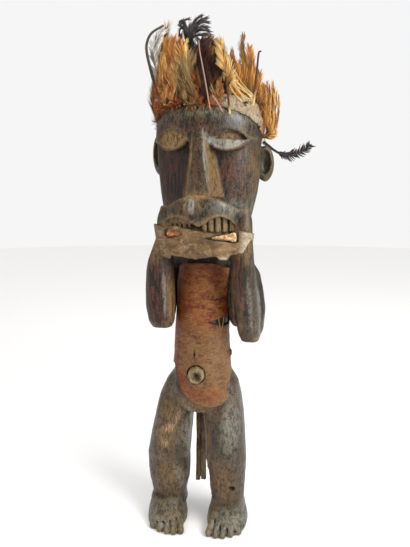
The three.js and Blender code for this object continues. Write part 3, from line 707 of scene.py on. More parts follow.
def make_piece(name, points, faces, material, replaces, traits=None):
    """A mesh object in the frame that rides on the figure, with the given finish. Its
    traits are single values or colours, one for each point."""
    mesh = bpy.data.meshes.new(name)
    corners = np.concatenate([np.asarray(group).ravel() for group in faces])
    sizes = np.concatenate([np.full(len(group), group.shape[1]) for group in faces])
    mesh.vertices.add(len(points))
    mesh.vertices.foreach_set("co", to_frame(points).ravel())
    mesh.loops.add(len(corners))
    mesh.loops.foreach_set("vertex_index", corners.astype(np.int32))
    mesh.polygons.add(len(sizes))
    mesh.polygons.foreach_set("loop_start", (np.cumsum(sizes) - sizes).astype(np.int32))
    mesh.polygons.foreach_set("use_smooth", np.full(len(sizes), True))
    for trait, values in (traits or {}).items():
        values = np.asarray(values, np.float32)
        if values.ndim == 2:
            values = np.hstack([values, np.ones((len(values), 1), np.float32)])
            mesh.attributes.new(trait, "FLOAT_COLOR", "POINT").data.foreach_set("color", values.ravel())
        else:
            mesh.attributes.new(trait, "FLOAT", "POINT").data.foreach_set("value", values)
    mesh.update(calc_edges=True)
    mesh.materials.append(material)
    piece = bpy.data.objects.new(name, mesh)
    bpy.context.scene.collection.objects.link(piece)
    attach(piece, "root")
    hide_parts(*replaces)
    return piece


# Materials

def add_node(tree, kind, inputs=None, **settings):
    """Adds a node with its settings. An input that is a socket is linked, any other is a value."""
    node = tree.nodes.new(kind)
    for name, value in settings.items():
        setattr(node, name, value)
    for place, value in (inputs or {}).items():
        if isinstance(value, bpy.types.NodeSocket):
            tree.links.new(value, node.inputs[place])
        else:
            node.inputs[place].default_value = value
    return node


def new_finish(name):
    """An empty material with its node tree."""
    material = bpy.data.materials.new(name)
    material.use_nodes = True
    return material, material.node_tree


def set_shader(tree, **inputs):
    """Links sockets to the shader's inputs, and sets values on them. An underscore stands for a space."""
    shader = tree.nodes["Principled BSDF"]
    for name, value in inputs.items():
        place = shader.inputs[name.replace("_", " ")]
        if isinstance(value, bpy.types.NodeSocket):
            tree.links.new(value, place)
        else:
            place.default_value = value


def bumps(tree, height, strength, depth=1.0):
    """Normals tilted by a relief of the given depth in mm."""
    return add_node(tree, "ShaderNodeBump", {"Height": height, "Strength": strength, "Distance": depth * MM}
                    ).outputs["Normal"]


def coordinate(tree, scale):
    """The object's own coordinates, where one unit is the given size in mm along each side."""
    place = add_node(tree, "ShaderNodeTexCoord").outputs["Object"]
    return add_node(tree, "ShaderNodeMapping", {"Vector": place, "Scale": [1 / (size * MM) for size in scale]}
                    ).outputs["Vector"]


def speckle(tree, scale, detail=4.0, roughness=0.6, distortion=0.0):
    """Noise whose lumps have the given size in mm along each side."""
    return add_node(tree, "ShaderNodeTexNoise", {
        "Vector": coordinate(tree, scale), "Scale": 1.0, "Detail": detail, "Roughness": roughness,
        "Distortion": distortion}).outputs["Fac"]


def steps(tree, value, low, high, to_low=0.0, to_high=1.0):
    """A value stretched from one range to another and held inside it."""
    return add_node(tree, "ShaderNodeMapRange", {
        "Value": value, "From Min": low, "From Max": high, "To Min": to_low, "To Max": to_high},
        interpolation_type="SMOOTHSTEP").outputs["Result"]


def times(tree, a, b):
    return add_node(tree, "ShaderNodeMath", {0: a, 1: b}, operation="MULTIPLY", use_clamp=True).outputs[0]


def plus(tree, a, b):
    return add_node(tree, "ShaderNodeMath", {0: a, 1: b}, operation="ADD").outputs[0]


def blend(tree, share, below, above):
    """Two colours mixed by a share. Each may be a colour or a socket."""
    def full(colour):
        return colour if isinstance(colour, bpy.types.NodeSocket) else (*colour, 1.0)
    inputs = {0: share, 6: full(below), 7: full(above)}
    return add_node(tree, "ShaderNodeMix", inputs, data_type="RGBA").outputs[2]


def laid(tree, base, layers):
    """A colour with others laid over it. Each layer is how much of it shows, a pattern, the range of
    the pattern and of the share that this range becomes, and the colour."""
    for strength, pattern, low, high, weak, strong, colour in layers:
        share = times(tree, strength, steps(tree, pattern, low, high, weak, strong))
        base = blend(tree, share, base, colour)
    return base


def mixture(tree, *parts):
    """The sum of patterns, each given with its weight."""
    first, *rest = (times(tree, pattern, weight) for pattern, weight in parts)
    for part in rest:
        first = plus(tree, first, part)
    return first


def trait(tree, name):
    return add_node(tree, "ShaderNodeAttribute", attribute_name=name).outputs["Fac"]


WOOD_TRAITS = ("bloom", "stain", "bare", "worn", "edge", "dust", "scrape", "hollow", "polish")


def patinated_wood(colours):
    """Old carved hardwood, oiled and handled until its edges shine. To the eye it is a nearly black
    brown in fine upright streaks, red-brown and ochre where it shows through, grey where it is worn,
    and it gives back soft bright highlights. Grey bloom and pale grey are also laid on as painted
    highlights, and the hollow trait darkens it with painted shade."""
    material, tree = new_finish("patinated hardwood")
    grain = speckle(tree, (0.9, 0.9, 13.0), 5.0, 0.72, 0.6)
    streaks = speckle(tree, (3.4, 3.4, 38.0), 4.0, 0.62, 1.0)
    chips = speckle(tree, (4.5, 4.5, 9.0), 5.0, 0.68, 0.8)
    patches = speckle(tree, (20.0, 20.0, 32.0), 4.0, 0.6)
    flecks = speckle(tree, (1.3, 1.3, 2.2), 3.0, 0.75)
    specks = speckle(tree, (0.8, 0.8, 0.9), 2.0, 0.5)
    fibres = mixture(tree, (grain, 0.38), (streaks, 0.3), (chips, 0.32))
    mottle = mixture(tree, (grain, 0.2), (chips, 0.35), (flecks, 0.45))
    ground = mixture(tree, (mottle, 0.5), (fibres, 0.5))
    stained = blend(tree, steps(tree, mixture(tree, (streaks, 0.6), (chips, 0.4)), 0.47, 0.56),
                    colours.stain, colours.maroon)
    open_wood = blend(tree, steps(tree, mottle, 0.4, 0.56), colours.bare, colours.bare_light)
    bloom, stain, bare, worn, edge, dust, scrape, hollow, polish = (trait(tree, name) for name in WOOD_TRAITS)
    # Grey bloom and pale worn grey: worn wood, and also painted highlights where the marks put them on ridges,
    # thighs and the muzzle
    greyness = times(tree, bloom, steps(tree, chips, 0.42, 0.56, 0.3, 1.0))
    smooth = times(tree, worn, steps(tree, chips, 0.4, 0.52, 0.35, 1.0))
    base = blend(tree, steps(tree, ground, 0.44, 0.56), colours.dark, colours.brown)
    base = laid(tree, base, (
        (0.6, patches, 0.48, 0.62, 0.0, 1.0, colours.stain),
        (0.5, chips, 0.5, 0.58, 0.0, 1.0, colours.stain),
        (0.4, flecks, 0.6, 0.68, 0.0, 1.0, colours.edge),
        (greyness, ground, 0.44, 0.54, 0.45, 1.0, colours.bloom),
        (stain, flecks, 0.52, 0.66, 1.0, 0.45, stained),
        (bare, chips, 0.38, 0.5, 0.5, 1.0, open_wood),
        (smooth, mottle, 0.42, 0.54, 0.55, 1.0, colours.worn),
        (edge, flecks, 0.4, 0.58, 0.3, 1.0, colours.edge),
        (dust, specks, 0.6, 0.7, 0.0, 1.0, colours.dust),
        (scrape, grain, 0.49, 0.56, 0.0, 1.0, colours.scrape)))
    # Painted shade: hollow darkens the colour in recesses, between the bodies and under the band; on the arms and
    # shins it is darker wood
    base = blend(tree, hollow, base, tuple(np.asarray(colours.stain) * 0.6))
    dull = plus(tree, times(tree, bare, 0.25), steps(tree, flecks, 0.4, 0.6, 0.32, 0.48))
    dull = plus(tree, dull, times(tree, hollow, 0.3))
    gloss = add_node(tree, "ShaderNodeMath", {0: dull, 1: times(tree, polish, 0.16)},
                     operation="SUBTRACT", use_clamp=True).outputs[0]
    relief = mixture(tree, (fibres, 0.45), (flecks, 0.55))
    set_shader(tree, Base_Color=base, Roughness=gloss, Specular_IOR_Level=0.3,
               Normal=bumps(tree, relief, steps(tree, polish, 0.3, 1.0, 0.6, 0.22)))
    return material


def dried_hide(name, light, deep, pale, hair_size, rough=0.55, contrast=1.0):
    """Dried skin with its hair worn to a nap. To the eye it is leathery, streaked and blotched, with
    a dull sheen on its folds."""
    material, tree = new_finish(name)
    deep, pale = np.asarray(deep), np.asarray(pale)
    blotch = speckle(tree, (22.0, 22.0, 15.0), 5.0, 0.6, 0.8)
    streak = speckle(tree, [4.0 * size for size in hair_size], 6.0, 0.72, 1.3)
    nap = speckle(tree, hair_size, 4.0, 0.75, 1.0)
    pores = speckle(tree, (0.9, 0.9, 0.9), 2.0, 0.6)
    tone = mixture(tree, (blotch, 0.6), (streak, 0.4))
    lines = mixture(tree, (nap, 0.4), (streak, 0.6))
    base = blend(tree, steps(tree, tone, 0.505 - 0.05 / contrast, 0.505 + 0.05 / contrast), deep, light)
    base = laid(tree, base, (
        (trait(tree, "redness"), streak, 0.38, 0.58, 1.0, 0.5, deep * 1.15),
        (trait(tree, "paleness"), lines, 0.42, 0.54, 0.45, 1.0, pale),
        (0.6 * contrast, lines, 0.53, 0.62, 0.0, 1.0, pale * 1.7),
        (0.7 * contrast, lines, 0.38, 0.5, 1.0, 0.0, deep * 0.33)))
    # grime_and_shade darkens the skin towards near-black: dirt in blotches, darker cut edges, and painted shade in
    # creases and grooves
    base = blend(tree, trait(tree, "grime_and_shade"), base, deep * 0.12)
    relief = mixture(tree, (lines, 0.75), (pores, 0.25))
    set_shader(tree, Base_Color=base, Roughness=rough, Specular_IOR_Level=0.35,
               Normal=bumps(tree, relief, 0.6))
    return material


def old_bone(name, body, stained):
    """Small bone darkened by handling. To the eye it is waxy, with warmer blotches."""
    material, tree = new_finish(name)
    blotch = speckle(tree, (3.0, 3.0, 3.0), 4.0, 0.6)
    set_shader(tree, Base_Color=blend(tree, steps(tree, blotch, 0.4, 0.62), stained, body), Roughness=0.42,
               IOR=1.54, Normal=bumps(tree, blotch, 0.3, 0.4))
    return material


def feather_keratin(name):
    """Feathers and coarse hair, whose colour changes along each plume. To the eye each barb is a
    separate silky line, and a quill is smooth."""
    material, tree = new_finish(name)
    tint = add_node(tree, "ShaderNodeAttribute", attribute_name="tint").outputs["Color"]
    gloss = steps(tree, speckle(tree, (1.2, 1.2, 4.0), 3.0, 0.6), 0.35, 0.65, 0.38, 0.62)
    set_shader(tree, Base_Color=tint, Roughness=gloss, IOR=1.55, Specular_IOR_Level=0.22)
    return material


def sinew(name, body, dark):
    """Twisted plant thread. To the eye it is a dull, fibrous two-ply line."""
    material, tree = new_finish(name)
    fibre = speckle(tree, (0.35, 0.35, 1.4), 3.0, 0.6)
    set_shader(tree, Base_Color=blend(tree, steps(tree, fibre, 0.35, 0.65), dark, body), Roughness=0.8)
    return material


def studio_floor(colour):
    """A matt painted studio floor, pale and plain."""
    material, tree = new_finish("matt studio floor")
    set_shader(tree, Base_Color=(*colour, 1.0), Roughness=0.9)
    return material


# Where the carving is worn, stained, bare or dusty, and where highlights and shade are painted on it. Places are
# in the front view, x and z in mm


def raggedness(points):
    return 0.2 * lattice_noise(points * [1, 1, 0.5], 6.0, 5)


def patch(points, ragged, centre, radii, turn=0.0, soft=0.5):
    """1 inside an oval patch on the figure's front, fading to 0 past its ragged edge."""
    c, s = math.cos(math.radians(turn)), math.sin(math.radians(turn))
    across, up = points[:, 0] - centre[0], points[:, 2] - centre[1]
    reach = np.hypot((c * across + s * up) / radii[0], (c * up - s * across) / radii[1]) + ragged
    return ease(1 + soft, 1 - soft, reach) * (points[:, 1] < 5)


# Worn patches and painted highlight lines narrower than this have a sharper edge, in mm
THIN_MARK = 5
# Heights between which the shins are rough: none, all, all, none
SHIN = (34, 48, KNEE - 16, KNEE - 2)

# The patches of each trait: strength, x and z of the middle, half width, half height and turn in degrees
MARKS = {
    # bloom: grey-green patina; on the muzzle's right and on both thighs also a painted highlight
    "bloom": [(0.95, 2, 600, 68, 14, 0), (0.4, 64, 520, 12, 40, 0), (0.6, -66, 545, 6, 60, 0),
        (0.95, -16, 480, 34, 12, 0), (0.8, 42, 478, 24, 12, 0), (0.4, -66, 362, 4, 52, 0),
        (0.6, 82, 348, 12, 60, 4), (0.8, -14, 164, 9, 44, -2), (0.5, -70, 130, 7, 34, 0),
        (0.7, 46, 178, 13, 46, 3), (0.5, 62, 74, 6, 34, 0), (0.8, -55, 26, 30, 14, 0),
        (0.9, 48, 26, 22, 16, 0)],
    "stain": [(0.6, -12, 574, 44, 15, 0), (0.4, 9, 540, 9, 46, 0), (1.0, -37, 526, 16, 46, 0),
        (0.95, 33, 526, 10, 42, 0), (0.65, 54, 530, 18, 42, 0), (0.5, -4, 471, 16, 9, 0),
        (1.0, -48, 368, 17, 56, 2), (1.0, 58, 372, 10, 58, -3), (0.4, 72, 345, 6, 54, 4),
        (0.3, -50, 176, 16, 50, 0), (0.45, -52, 84, 18, 30, 0), (0.5, 15, 160, 8, 46, 0),
        (0.45, 38, 80, 20, 32, 0), (0.5, 30, 215, 20, 30, 0)],
    "bare": [(0.25, 76, 520, 7, 40, 6), (0.35, -12, 482, 30, 10, 0), (0.5, -31, 348, 5, 36, 4),
        (0.65, 50, 342, 3, 34, -3), (0.4, 62, 330, 3, 40, -6), (0.4, -46, 430, 12, 22, 0),
        (0.5, 66, 436, 12, 20, 0), (0.45, -46, 170, 16, 46, -6), (0.55, -48, 80, 20, 32, 0),
        (0.45, 14, 150, 5, 50, 0), (0.55, 34, 80, 22, 34, 0), (0.5, 14, 78, 4, 36, 3),
        (0.3, -38, 12, 18, 10, 0), (0.5, 16, 20, 8, 26, 0), (0.45, -6, 198, 34, 14, 0)],
    "dust": [(0.4, 48, 530, 22, 42, 0)],
    # worn: pale grey; a painted highlight on the nose's ridge, the forehead's right, the muzzle, both arms and
    # both thighs, and worn wood on the left shin and the feet
    "worn": [(0.9, 20, 536, 1.8, 34, 6.5), (0.3, 57, 590, 13, 8, 0), (0.9, 5, 480, 4, 9, 0),
        (0.5, 46, 479, 17, 9, 0), (0.55, -38, 372, 2, 34, 0), (0.45, 75, 352, 2.5, 38, 4),
        (0.35, -14, 160, 7, 40, -2), (0.4, -29, 76, 5, 25, 8), (0.35, 48, 178, 10, 40, 3),
        (0.35, -55, 12, 28, 7, 0), (0.5, 40, 14, 26, 12, 0)],
    "polish": [(1.0, 58, 597, 24, 14, 0), (1.0, 38, 478, 24, 11, 0), (1.0, -38, 365, 9, 44, 0),
        (1.0, 76, 345, 12, 54, 4), (1, -14, 164, 12, 46, 0), (1.0, 47, 176, 17, 50, 0)],
    # hollow: painted shade under the band's lower edge, above the trunk
    "hollow": [(1.0, 2, 411, 34, 8, 0)],
    "scrape": [(0.9, -41, 164, 8, 5, 20), (0.9, -30, 178, 3, 10, -20), (0.8, -46, 140, 6, 5, 0)],
}


def outline_share(points, corners, soft=2.0):
    """1 inside an outline drawn in the front view, 0 outside, on the figure's front."""
    x, y, z = points.T
    return ease(soft / 2, -soft / 2, outline_distance(x, z, corners)) * (y < 0)


def wood_traits(points, normals, bulge):
    """How bare, stained, dusty, grey, scraped and polished the wood is at each point, how far
    it lies on an edge, where pale grey is painted as a highlight, and how much painted shade darkens its hollows."""
    x, y, z = points.T
    broad = layered_noise(points, 24.0, 11)
    fine = layered_noise(points * [1, 1, 0.2], 4.0, 21)
    ragged = raggedness(points)
    traits = {name: np.zeros(len(points)) for name in WOOD_TRAITS}

    def add(name, values):
        traits[name] = np.maximum(traits[name], values)

    add("bloom", np.clip(0.22 + 0.35 * broad, 0, 1))
    add("bare", 0.3 * ease(0.3, 0.8, fine))
    add("dust", 0.1 + 0.2 * ease(60, 20, z))
    add("polish", np.clip(0.4 + 0.4 * broad, 0, 1))
    for name, rows in MARKS.items():
        for strength, *centre, half_width, half_height, turn in rows:
            soft = 0.25 if name == "worn" and half_width < THIN_MARK else 0.75
            add(name, strength * patch(points, ragged, centre, (half_width, half_height), turn, soft))

    # Painted shade darkens the cheeks' hollows, the left one most, and the arms and the shins are darker wood than
    # the rest
    hollows = [outline_share(points, cheek_outline(sign)) * ease(590, 574, z) for sign in (-1, 1)]
    arms = within(z, 322, 330, 400, 416) * (np.abs(x - 9) > 42)
    shins = within(z, *SHIN)
    traits["bloom"] *= 1 - np.maximum(0.9 * hollows[0], 0.5 * hollows[1] * ease(60, 36, x))
    traits["bloom"] *= 1 - 0.6 * arms - 0.7 * shins
    add("hollow", 0.3 * hollows[0] + 0.35 * hollows[1] * ease(60, 30, x))
    add("hollow", 0.22 * arms + 0.15 * shins)

    # The nose's flanks and the eyes are bare, and the lower lid of one eye is worn pale. Painted shade darkens the
    # upper half of the left eye and the recess of the right eye's slit
    left_lids, right_lids = (outline_share(points, almond(*eye)) for eye in EYES)
    nose_x = np.abs(x - side(1, 3))
    flank = ease(0.45, 0.75, np.abs(normals[:, 0])) * (nose_x < 30) * (y < -40) * (z > NOSE_BOTTOM)
    flank *= (z < BROW - 8) * np.clip(1 - np.maximum(left_lids, right_lids), 0, 1)
    add("bare", 0.95 * flank)
    traits["stain"] *= 1 - 0.8 * flank
    traits["bloom"] *= 1 - 0.7 * flank
    recess = outline_share(points, EYE_SLIT, 1.5)
    add("bare", np.maximum(0.95 * left_lids, 0.95 * recess))
    # Painted shade on the upper half of the left eye, under the brow
    add("hollow", 0.25 * ease(566, 569, z + 0.12 * x) * left_lids)
    for name in ("bloom", "stain", "polish", "worn"):
        traits[name] *= 1 - 0.95 * left_lids
        traits[name] *= 1 - 0.95 * recess
    add("worn", 0.62 * np.clip(right_lids - recess, 0, 1) * ease(566, 562, z))
    # Painted shade in the recess of the slit
    add("hollow", 0.3 * recess)

    # Bare wood under the nose, round the mouth and on the navel's peg, with a painted highlight on the peg's
    # facets that face the window light and painted shade in its hollow
    over_lip = z - lip_height(x)
    rim = ease(5, 3, np.abs(z - NOSE_BOTTOM)) * (nose_x < 17) * (y < -60)
    mouth = ease(1.5, -1, over_lip) * ease(425, 436, z) * (y < -55) * (np.abs(x - 10) < 56)
    lip = ease(3.2, 1.2, np.abs(over_lip - 1.5)) * (y < -55) * (np.abs(x - 10) < 54)
    peg = ease(NAVEL_RADIUS + 4, NAVEL_RADIUS + 2, np.hypot(x - NAVEL[0], z - NAVEL[1])) * (y < -42)
    peg_hollow = np.hypot(x - NAVEL[0] - 0.8, z - NAVEL[1] + 1)
    ledge = ease(0.3, 0.7, normals[:, 2]) * within(z, 455, 466, 494, 500) * (y < -45)
    add("bare", np.maximum.reduce([0.8 * rim, 0.5 * mouth, 0.45 * lip, 0.95 * peg, 0.45 * ledge]))
    # Painted highlight: pale grey on the peg's facets that face the window light
    add("worn", 0.55 * peg * ease(0.1, 0.5, normals[:, 0] + 0.5 * normals[:, 2]))
    # Painted shade in the peg's hollow
    add("hollow", 0.5 * ease(6.5, 4.5, peg_hollow) * peg)
    add("bloom", np.maximum(0.5 * mouth, 0.9 * ease(7, 5.5, peg_hollow) * peg))

    # Worn edges, and painted shade in the hollows and between the bodies, inside the left arm most
    # Painted shade between the left arm and the trunk, and in every hollow
    inner_arm = ease(-44, -38, x) * ease(-24, -30, x) * ease(-36, -28, y) * within(z, 325, 340, 400, 412)
    add("hollow", np.maximum(0.8 * ease(-0.35, -1.3, bulge + 0.2 * fine), 0.9 * inner_arm))
    traits["edge"] = 0.62 * ease(0.25, 1.1, bulge + 0.25 * fine) * ease(-0.6, 0.2, broad + 0.4)
    traits["edge"] *= 1 - 0.85 * patch(points, ragged, (9, 536), (10, 42))
    for name, size in (("edge", 0.75), ("bare", 0.9)):
        traits[name] = traits[name] * (size + (1 - size) * fine)
    return {name: np.clip(values, 0, 1) for name, values in traits.items()}


# Settings that a user would change


def colour_setting(name, hex_colour, description):
    return bpy.props.FloatVectorProperty(
        name=name, description=description, default=tuple(linear(hex_colour)), subtype="COLOR", min=0, max=1)


def number_setting(name, default, low, high, description, **kind):
    return bpy.props.FloatProperty(
        name=name, description=description, default=default, min=low, max=high, **kind)


class ReliquaryWood(bpy.types.PropertyGroup):
    """The carving's mesh and finish"""
    triangles: bpy.props.IntProperty(
        name="Triangles", description="Most triangles in the carving's mesh", default=190000, min=20000,
        max=200000)
    tool_marks: number_setting("Tool marks", 0.45, 0, 1.5, "Depth of the adze's flats on the surface, in mm")
    dark: colour_setting("Dark", "#120c08", "The darkest patina, in the grain")
    brown: colour_setting("Brown", "#4a3b28", "The patina between the grain lines")
    # Also a painted highlight on the thighs and the muzzle's right
    bloom: colour_setting("Bloom", "#6a6450", "The grey-green bloom on handled wood")
    stain: colour_setting("Stain", "#0c0603", "The near-black stain in hollows")
    maroon: colour_setting("Maroon", "#5c2a16", "The red-brown that shows through the stain")
    bare: colour_setting("Bare wood", "#4e381e", "Bare wood in the carved hollows")
    bare_light: colour_setting("Light bare wood", "#9a7848", "The lightest bare wood")
    edge: colour_setting("Edges", "#7d6a4c", "Worn edges and ridges")
    dust: colour_setting("Dust", "#c0b8a4", "Dust caught in the pores")
    # Also laid on as painted highlights on the nose's ridge, forehead, muzzle, arms and thighs
    worn: colour_setting("Worn", "#8f8e82", "The pale grey wood worn smooth on ridges")
    scrape: colour_setting("Scrapes", "#c09a74", "Fresh scrapes on the thigh")


class ReliquaryHides(bpy.types.PropertyGroup):
    """The skins and their finish"""
    thickness: number_setting("Thickness", 2.0, 0.8, 2.6, "Thickness of the trunk's skin, in mm")
    wrinkle: number_setting("Wrinkles", 0.8, 0, 1.5, "Depth of the skin's folds, in mm")
    trunk_light: colour_setting("Trunk skin", "#86501f", "The tan of the trunk's skin")
    trunk_deep: colour_setting("Trunk skin, red", "#682b0b", "The red-brown of the trunk's skin")
    trunk_pale: colour_setting("Trunk skin, worn", "#6f5230", "The worn grey-tan low on the skin")
    band_light: colour_setting("Band", "#7e613c", "The tan of the mouth band")
    band_deep: colour_setting("Band, dark", "#584026", "The brown of the mouth band")
    band_pale: colour_setting("Band, worn", "#a59a80", "The pale ends of the mouth band")
    cap_light: colour_setting("Cap", "#966032", "The tan of the hair cap")
    cap_deep: colour_setting("Cap, red", "#6c3a1c", "The red-brown of the hair cap")
    cap_pale: colour_setting("Cap, worn", "#988a70", "The bare skin of the hair cap")


class ReliquaryFeathers(bpy.types.PropertyGroup):
    """The feathers' barbs"""
    barb_gap: number_setting("Barb gap", 0.8, 0.4, 4, "Distance between two barbs along a quill, in mm")
    barb_width: number_setting("Barb width", 1.0, 0.2, 2, "Width of one barb, in mm")
    unevenness: number_setting("Unevenness", 0.5, 0, 1, "How much the barbs differ in brightness")


class ReliquaryStage(bpy.types.PropertyGroup):
    """The camera, the lights and the floor"""
    lens: number_setting("Lens", 28.3, 15, 200, "Focal length on a 36 mm sensor, in mm")
    distance: number_setting("Distance", 0.615, 0.2, 5, "Level distance from the camera to the figure's axis",
                             unit="LENGTH")
    height: number_setting("Height", 0.470, 0, 3, "Height of the camera", unit="LENGTH")
    azimuth: number_setting("Azimuth", math.radians(13), -math.pi, math.pi,
                            "How far the camera stands to the figure's left", subtype="ANGLE")
    pitch: number_setting("Pitch", math.radians(7.88), -math.pi / 2, math.pi / 2,
                          "How far the camera looks down", subtype="ANGLE")
    key_power: number_setting("Key light", 34, 0, 500, "Power of the window-like light, in watts")
    fill_power: number_setting("Fill light", 2.5, 0, 500, "Power of the soft light opposite, in watts")
    overhead: number_setting("Overhead light", 1.9, 0, 20, "Strength of the wide soft light from above")
    ambient: number_setting("Ambient", 0.36, 0, 5, "Brightness of the light from all round")
    backdrop: number_setting("Backdrop", 0.92, 0, 5, "Brightness of the pale backdrop")
    floor: colour_setting("Floor", "#f7f6f4", "The studio floor")


# The pieces, one operator for each piece or group of like pieces


class RELIQUARY_OT_figure(bpy.types.Operator):
    """Carves the standing figure: head, ears, hands at the mouth, trunk, navel peg, legs and feet"""
    bl_idname = "reliquary.figure"
    bl_label = "Carved figure"

    def execute(self, context):
        wood = context.scene.reliquary_wood
        carving = Carving()
        for step in (carve_body, carve_legs, carve_feet, carve_head, carve_muzzle, carve_ears, carve_navel,
                     carve_soles):
            step(carving)
        points, quads = surface_net(carving.field)
        points = mark_surface(points, quads, wood.tool_marks)
        piece = make_piece("figure", points, [quads], patinated_wood(wood),
                           ["carved_figure"])
        thin = piece.modifiers.new("thin", "DECIMATE")
        thin.ratio = min(1.0, wood.triangles / (2 * len(quads)))
        evaluated = piece.evaluated_get(context.evaluated_depsgraph_get())
        mesh = bpy.data.meshes.new_from_object(evaluated)
        piece.modifiers.clear()
        piece.data = mesh
        count = len(mesh.vertices)
        places, normals = np.empty(count * 3, np.float32), np.empty(count * 3, np.float32)
        mesh.vertices.foreach_get("co", places)
        mesh.vertices.foreach_get("normal", normals)
        places = places.reshape(-1, 3) / MM - np.array([AXIS_X, AXIS_Y, 0.0])
        bulge = sampled(blurred(carving.field, 2) - carving.field, places)
        for name, values in wood_traits(places, normals.reshape(-1, 3), bulge).items():
            mesh.attributes.new(name, "FLOAT", "POINT").data.foreach_set("value", values.astype(np.float32))
        return {"FINISHED"}


def mark_surface(points, quads, depth):
    """Adze flats, grain grooves and rough shins pressed into the surface."""
    normals = point_normals(points, quads)
    x, y, z = points.T
    flats = np.abs(layered_noise(points * [1, 1, 0.45], 11.0, 31, 2)) * 1.4 - 0.3
    grooves = np.minimum(layered_noise(points * [1, 1, 0.12], 3.2, 41, 2), 0.1)
    coarse = layered_noise(points * [1, 1, 0.6], 4.0, 51, 3)
    shin = within(z, *SHIN) * ease(5, -15, y)
    foot = ease(44, 30, z)
    offset = -depth * np.clip(flats, 0, 1) + 0.4 * grooves + shin * 1.3 * coarse + foot * 0.7 * coarse - 0.1
    offset *= ease(0.3, 4.0, z)
    return points + normals * offset[:, None]


def hide_low(angle):
    """Height of the trunk skin's lower edge at an angle from the front, in degrees."""
    angles = [-180, -90, -60, -45, -27, -10, 2, 17, 36, 62, 80, 100, 180]
    heights = [246, 257, 257, 244, 226, 211, 204, 200, 203, 214, 234, 250, 246]
    return np.interp(angle, angles, heights)


HIDE_RADIUS = 37.0
HIDE_TOP = 406.0
# The tear, along x: its start, the height of its middle, and half its own height
TEAR_START = 15.5
TEAR_MIDDLE = [15, 30, 50], [322, 322, 320.3]
TEAR_HALF_HEIGHT = [15, 30, 50], [0.2, 4.4, 7.2]
# Where the skin's edge stands off beside the left arm, in degrees: a pale strip, and a nub lower down
SEAM_ANGLE = 84
STRIP_FOOT = (356, 362)
NUB_HEIGHT = 273


def hide_traits(red, pale, grime_and_shade):
    return {name: np.clip(values, 0, 1) for name, values in
            (("redness", red), ("paleness", pale), ("grime_and_shade", grime_and_shade))}


def hide_angle(u):
    return (u / HIDE_RADIUS * 180 / math.pi + 180) % 360 - 180


def hide_face(u, v, offset):
    """A point at a distance from the trunk, u mm round from the front and v mm up."""
    turn = u / HIDE_RADIUS
    x, y, half_width, half_depth = station_values(TRUNK, v)
    return np.stack([x + squarish(np.sin(turn)) * (half_width + offset),
                     y - squarish(np.cos(turn)) * (half_depth + offset), v], axis=1)


def hide_crease(x, z):
    """1 in the crease that runs from the left of the navel down between the legs, 0 beside it."""
    line = np.interp(z, [203, 215, 238, 262], [3, -13, -27, -34])
    return np.exp(-((x - line) / 2.0) ** 2) * within(z, 206, 210, 258, 268)


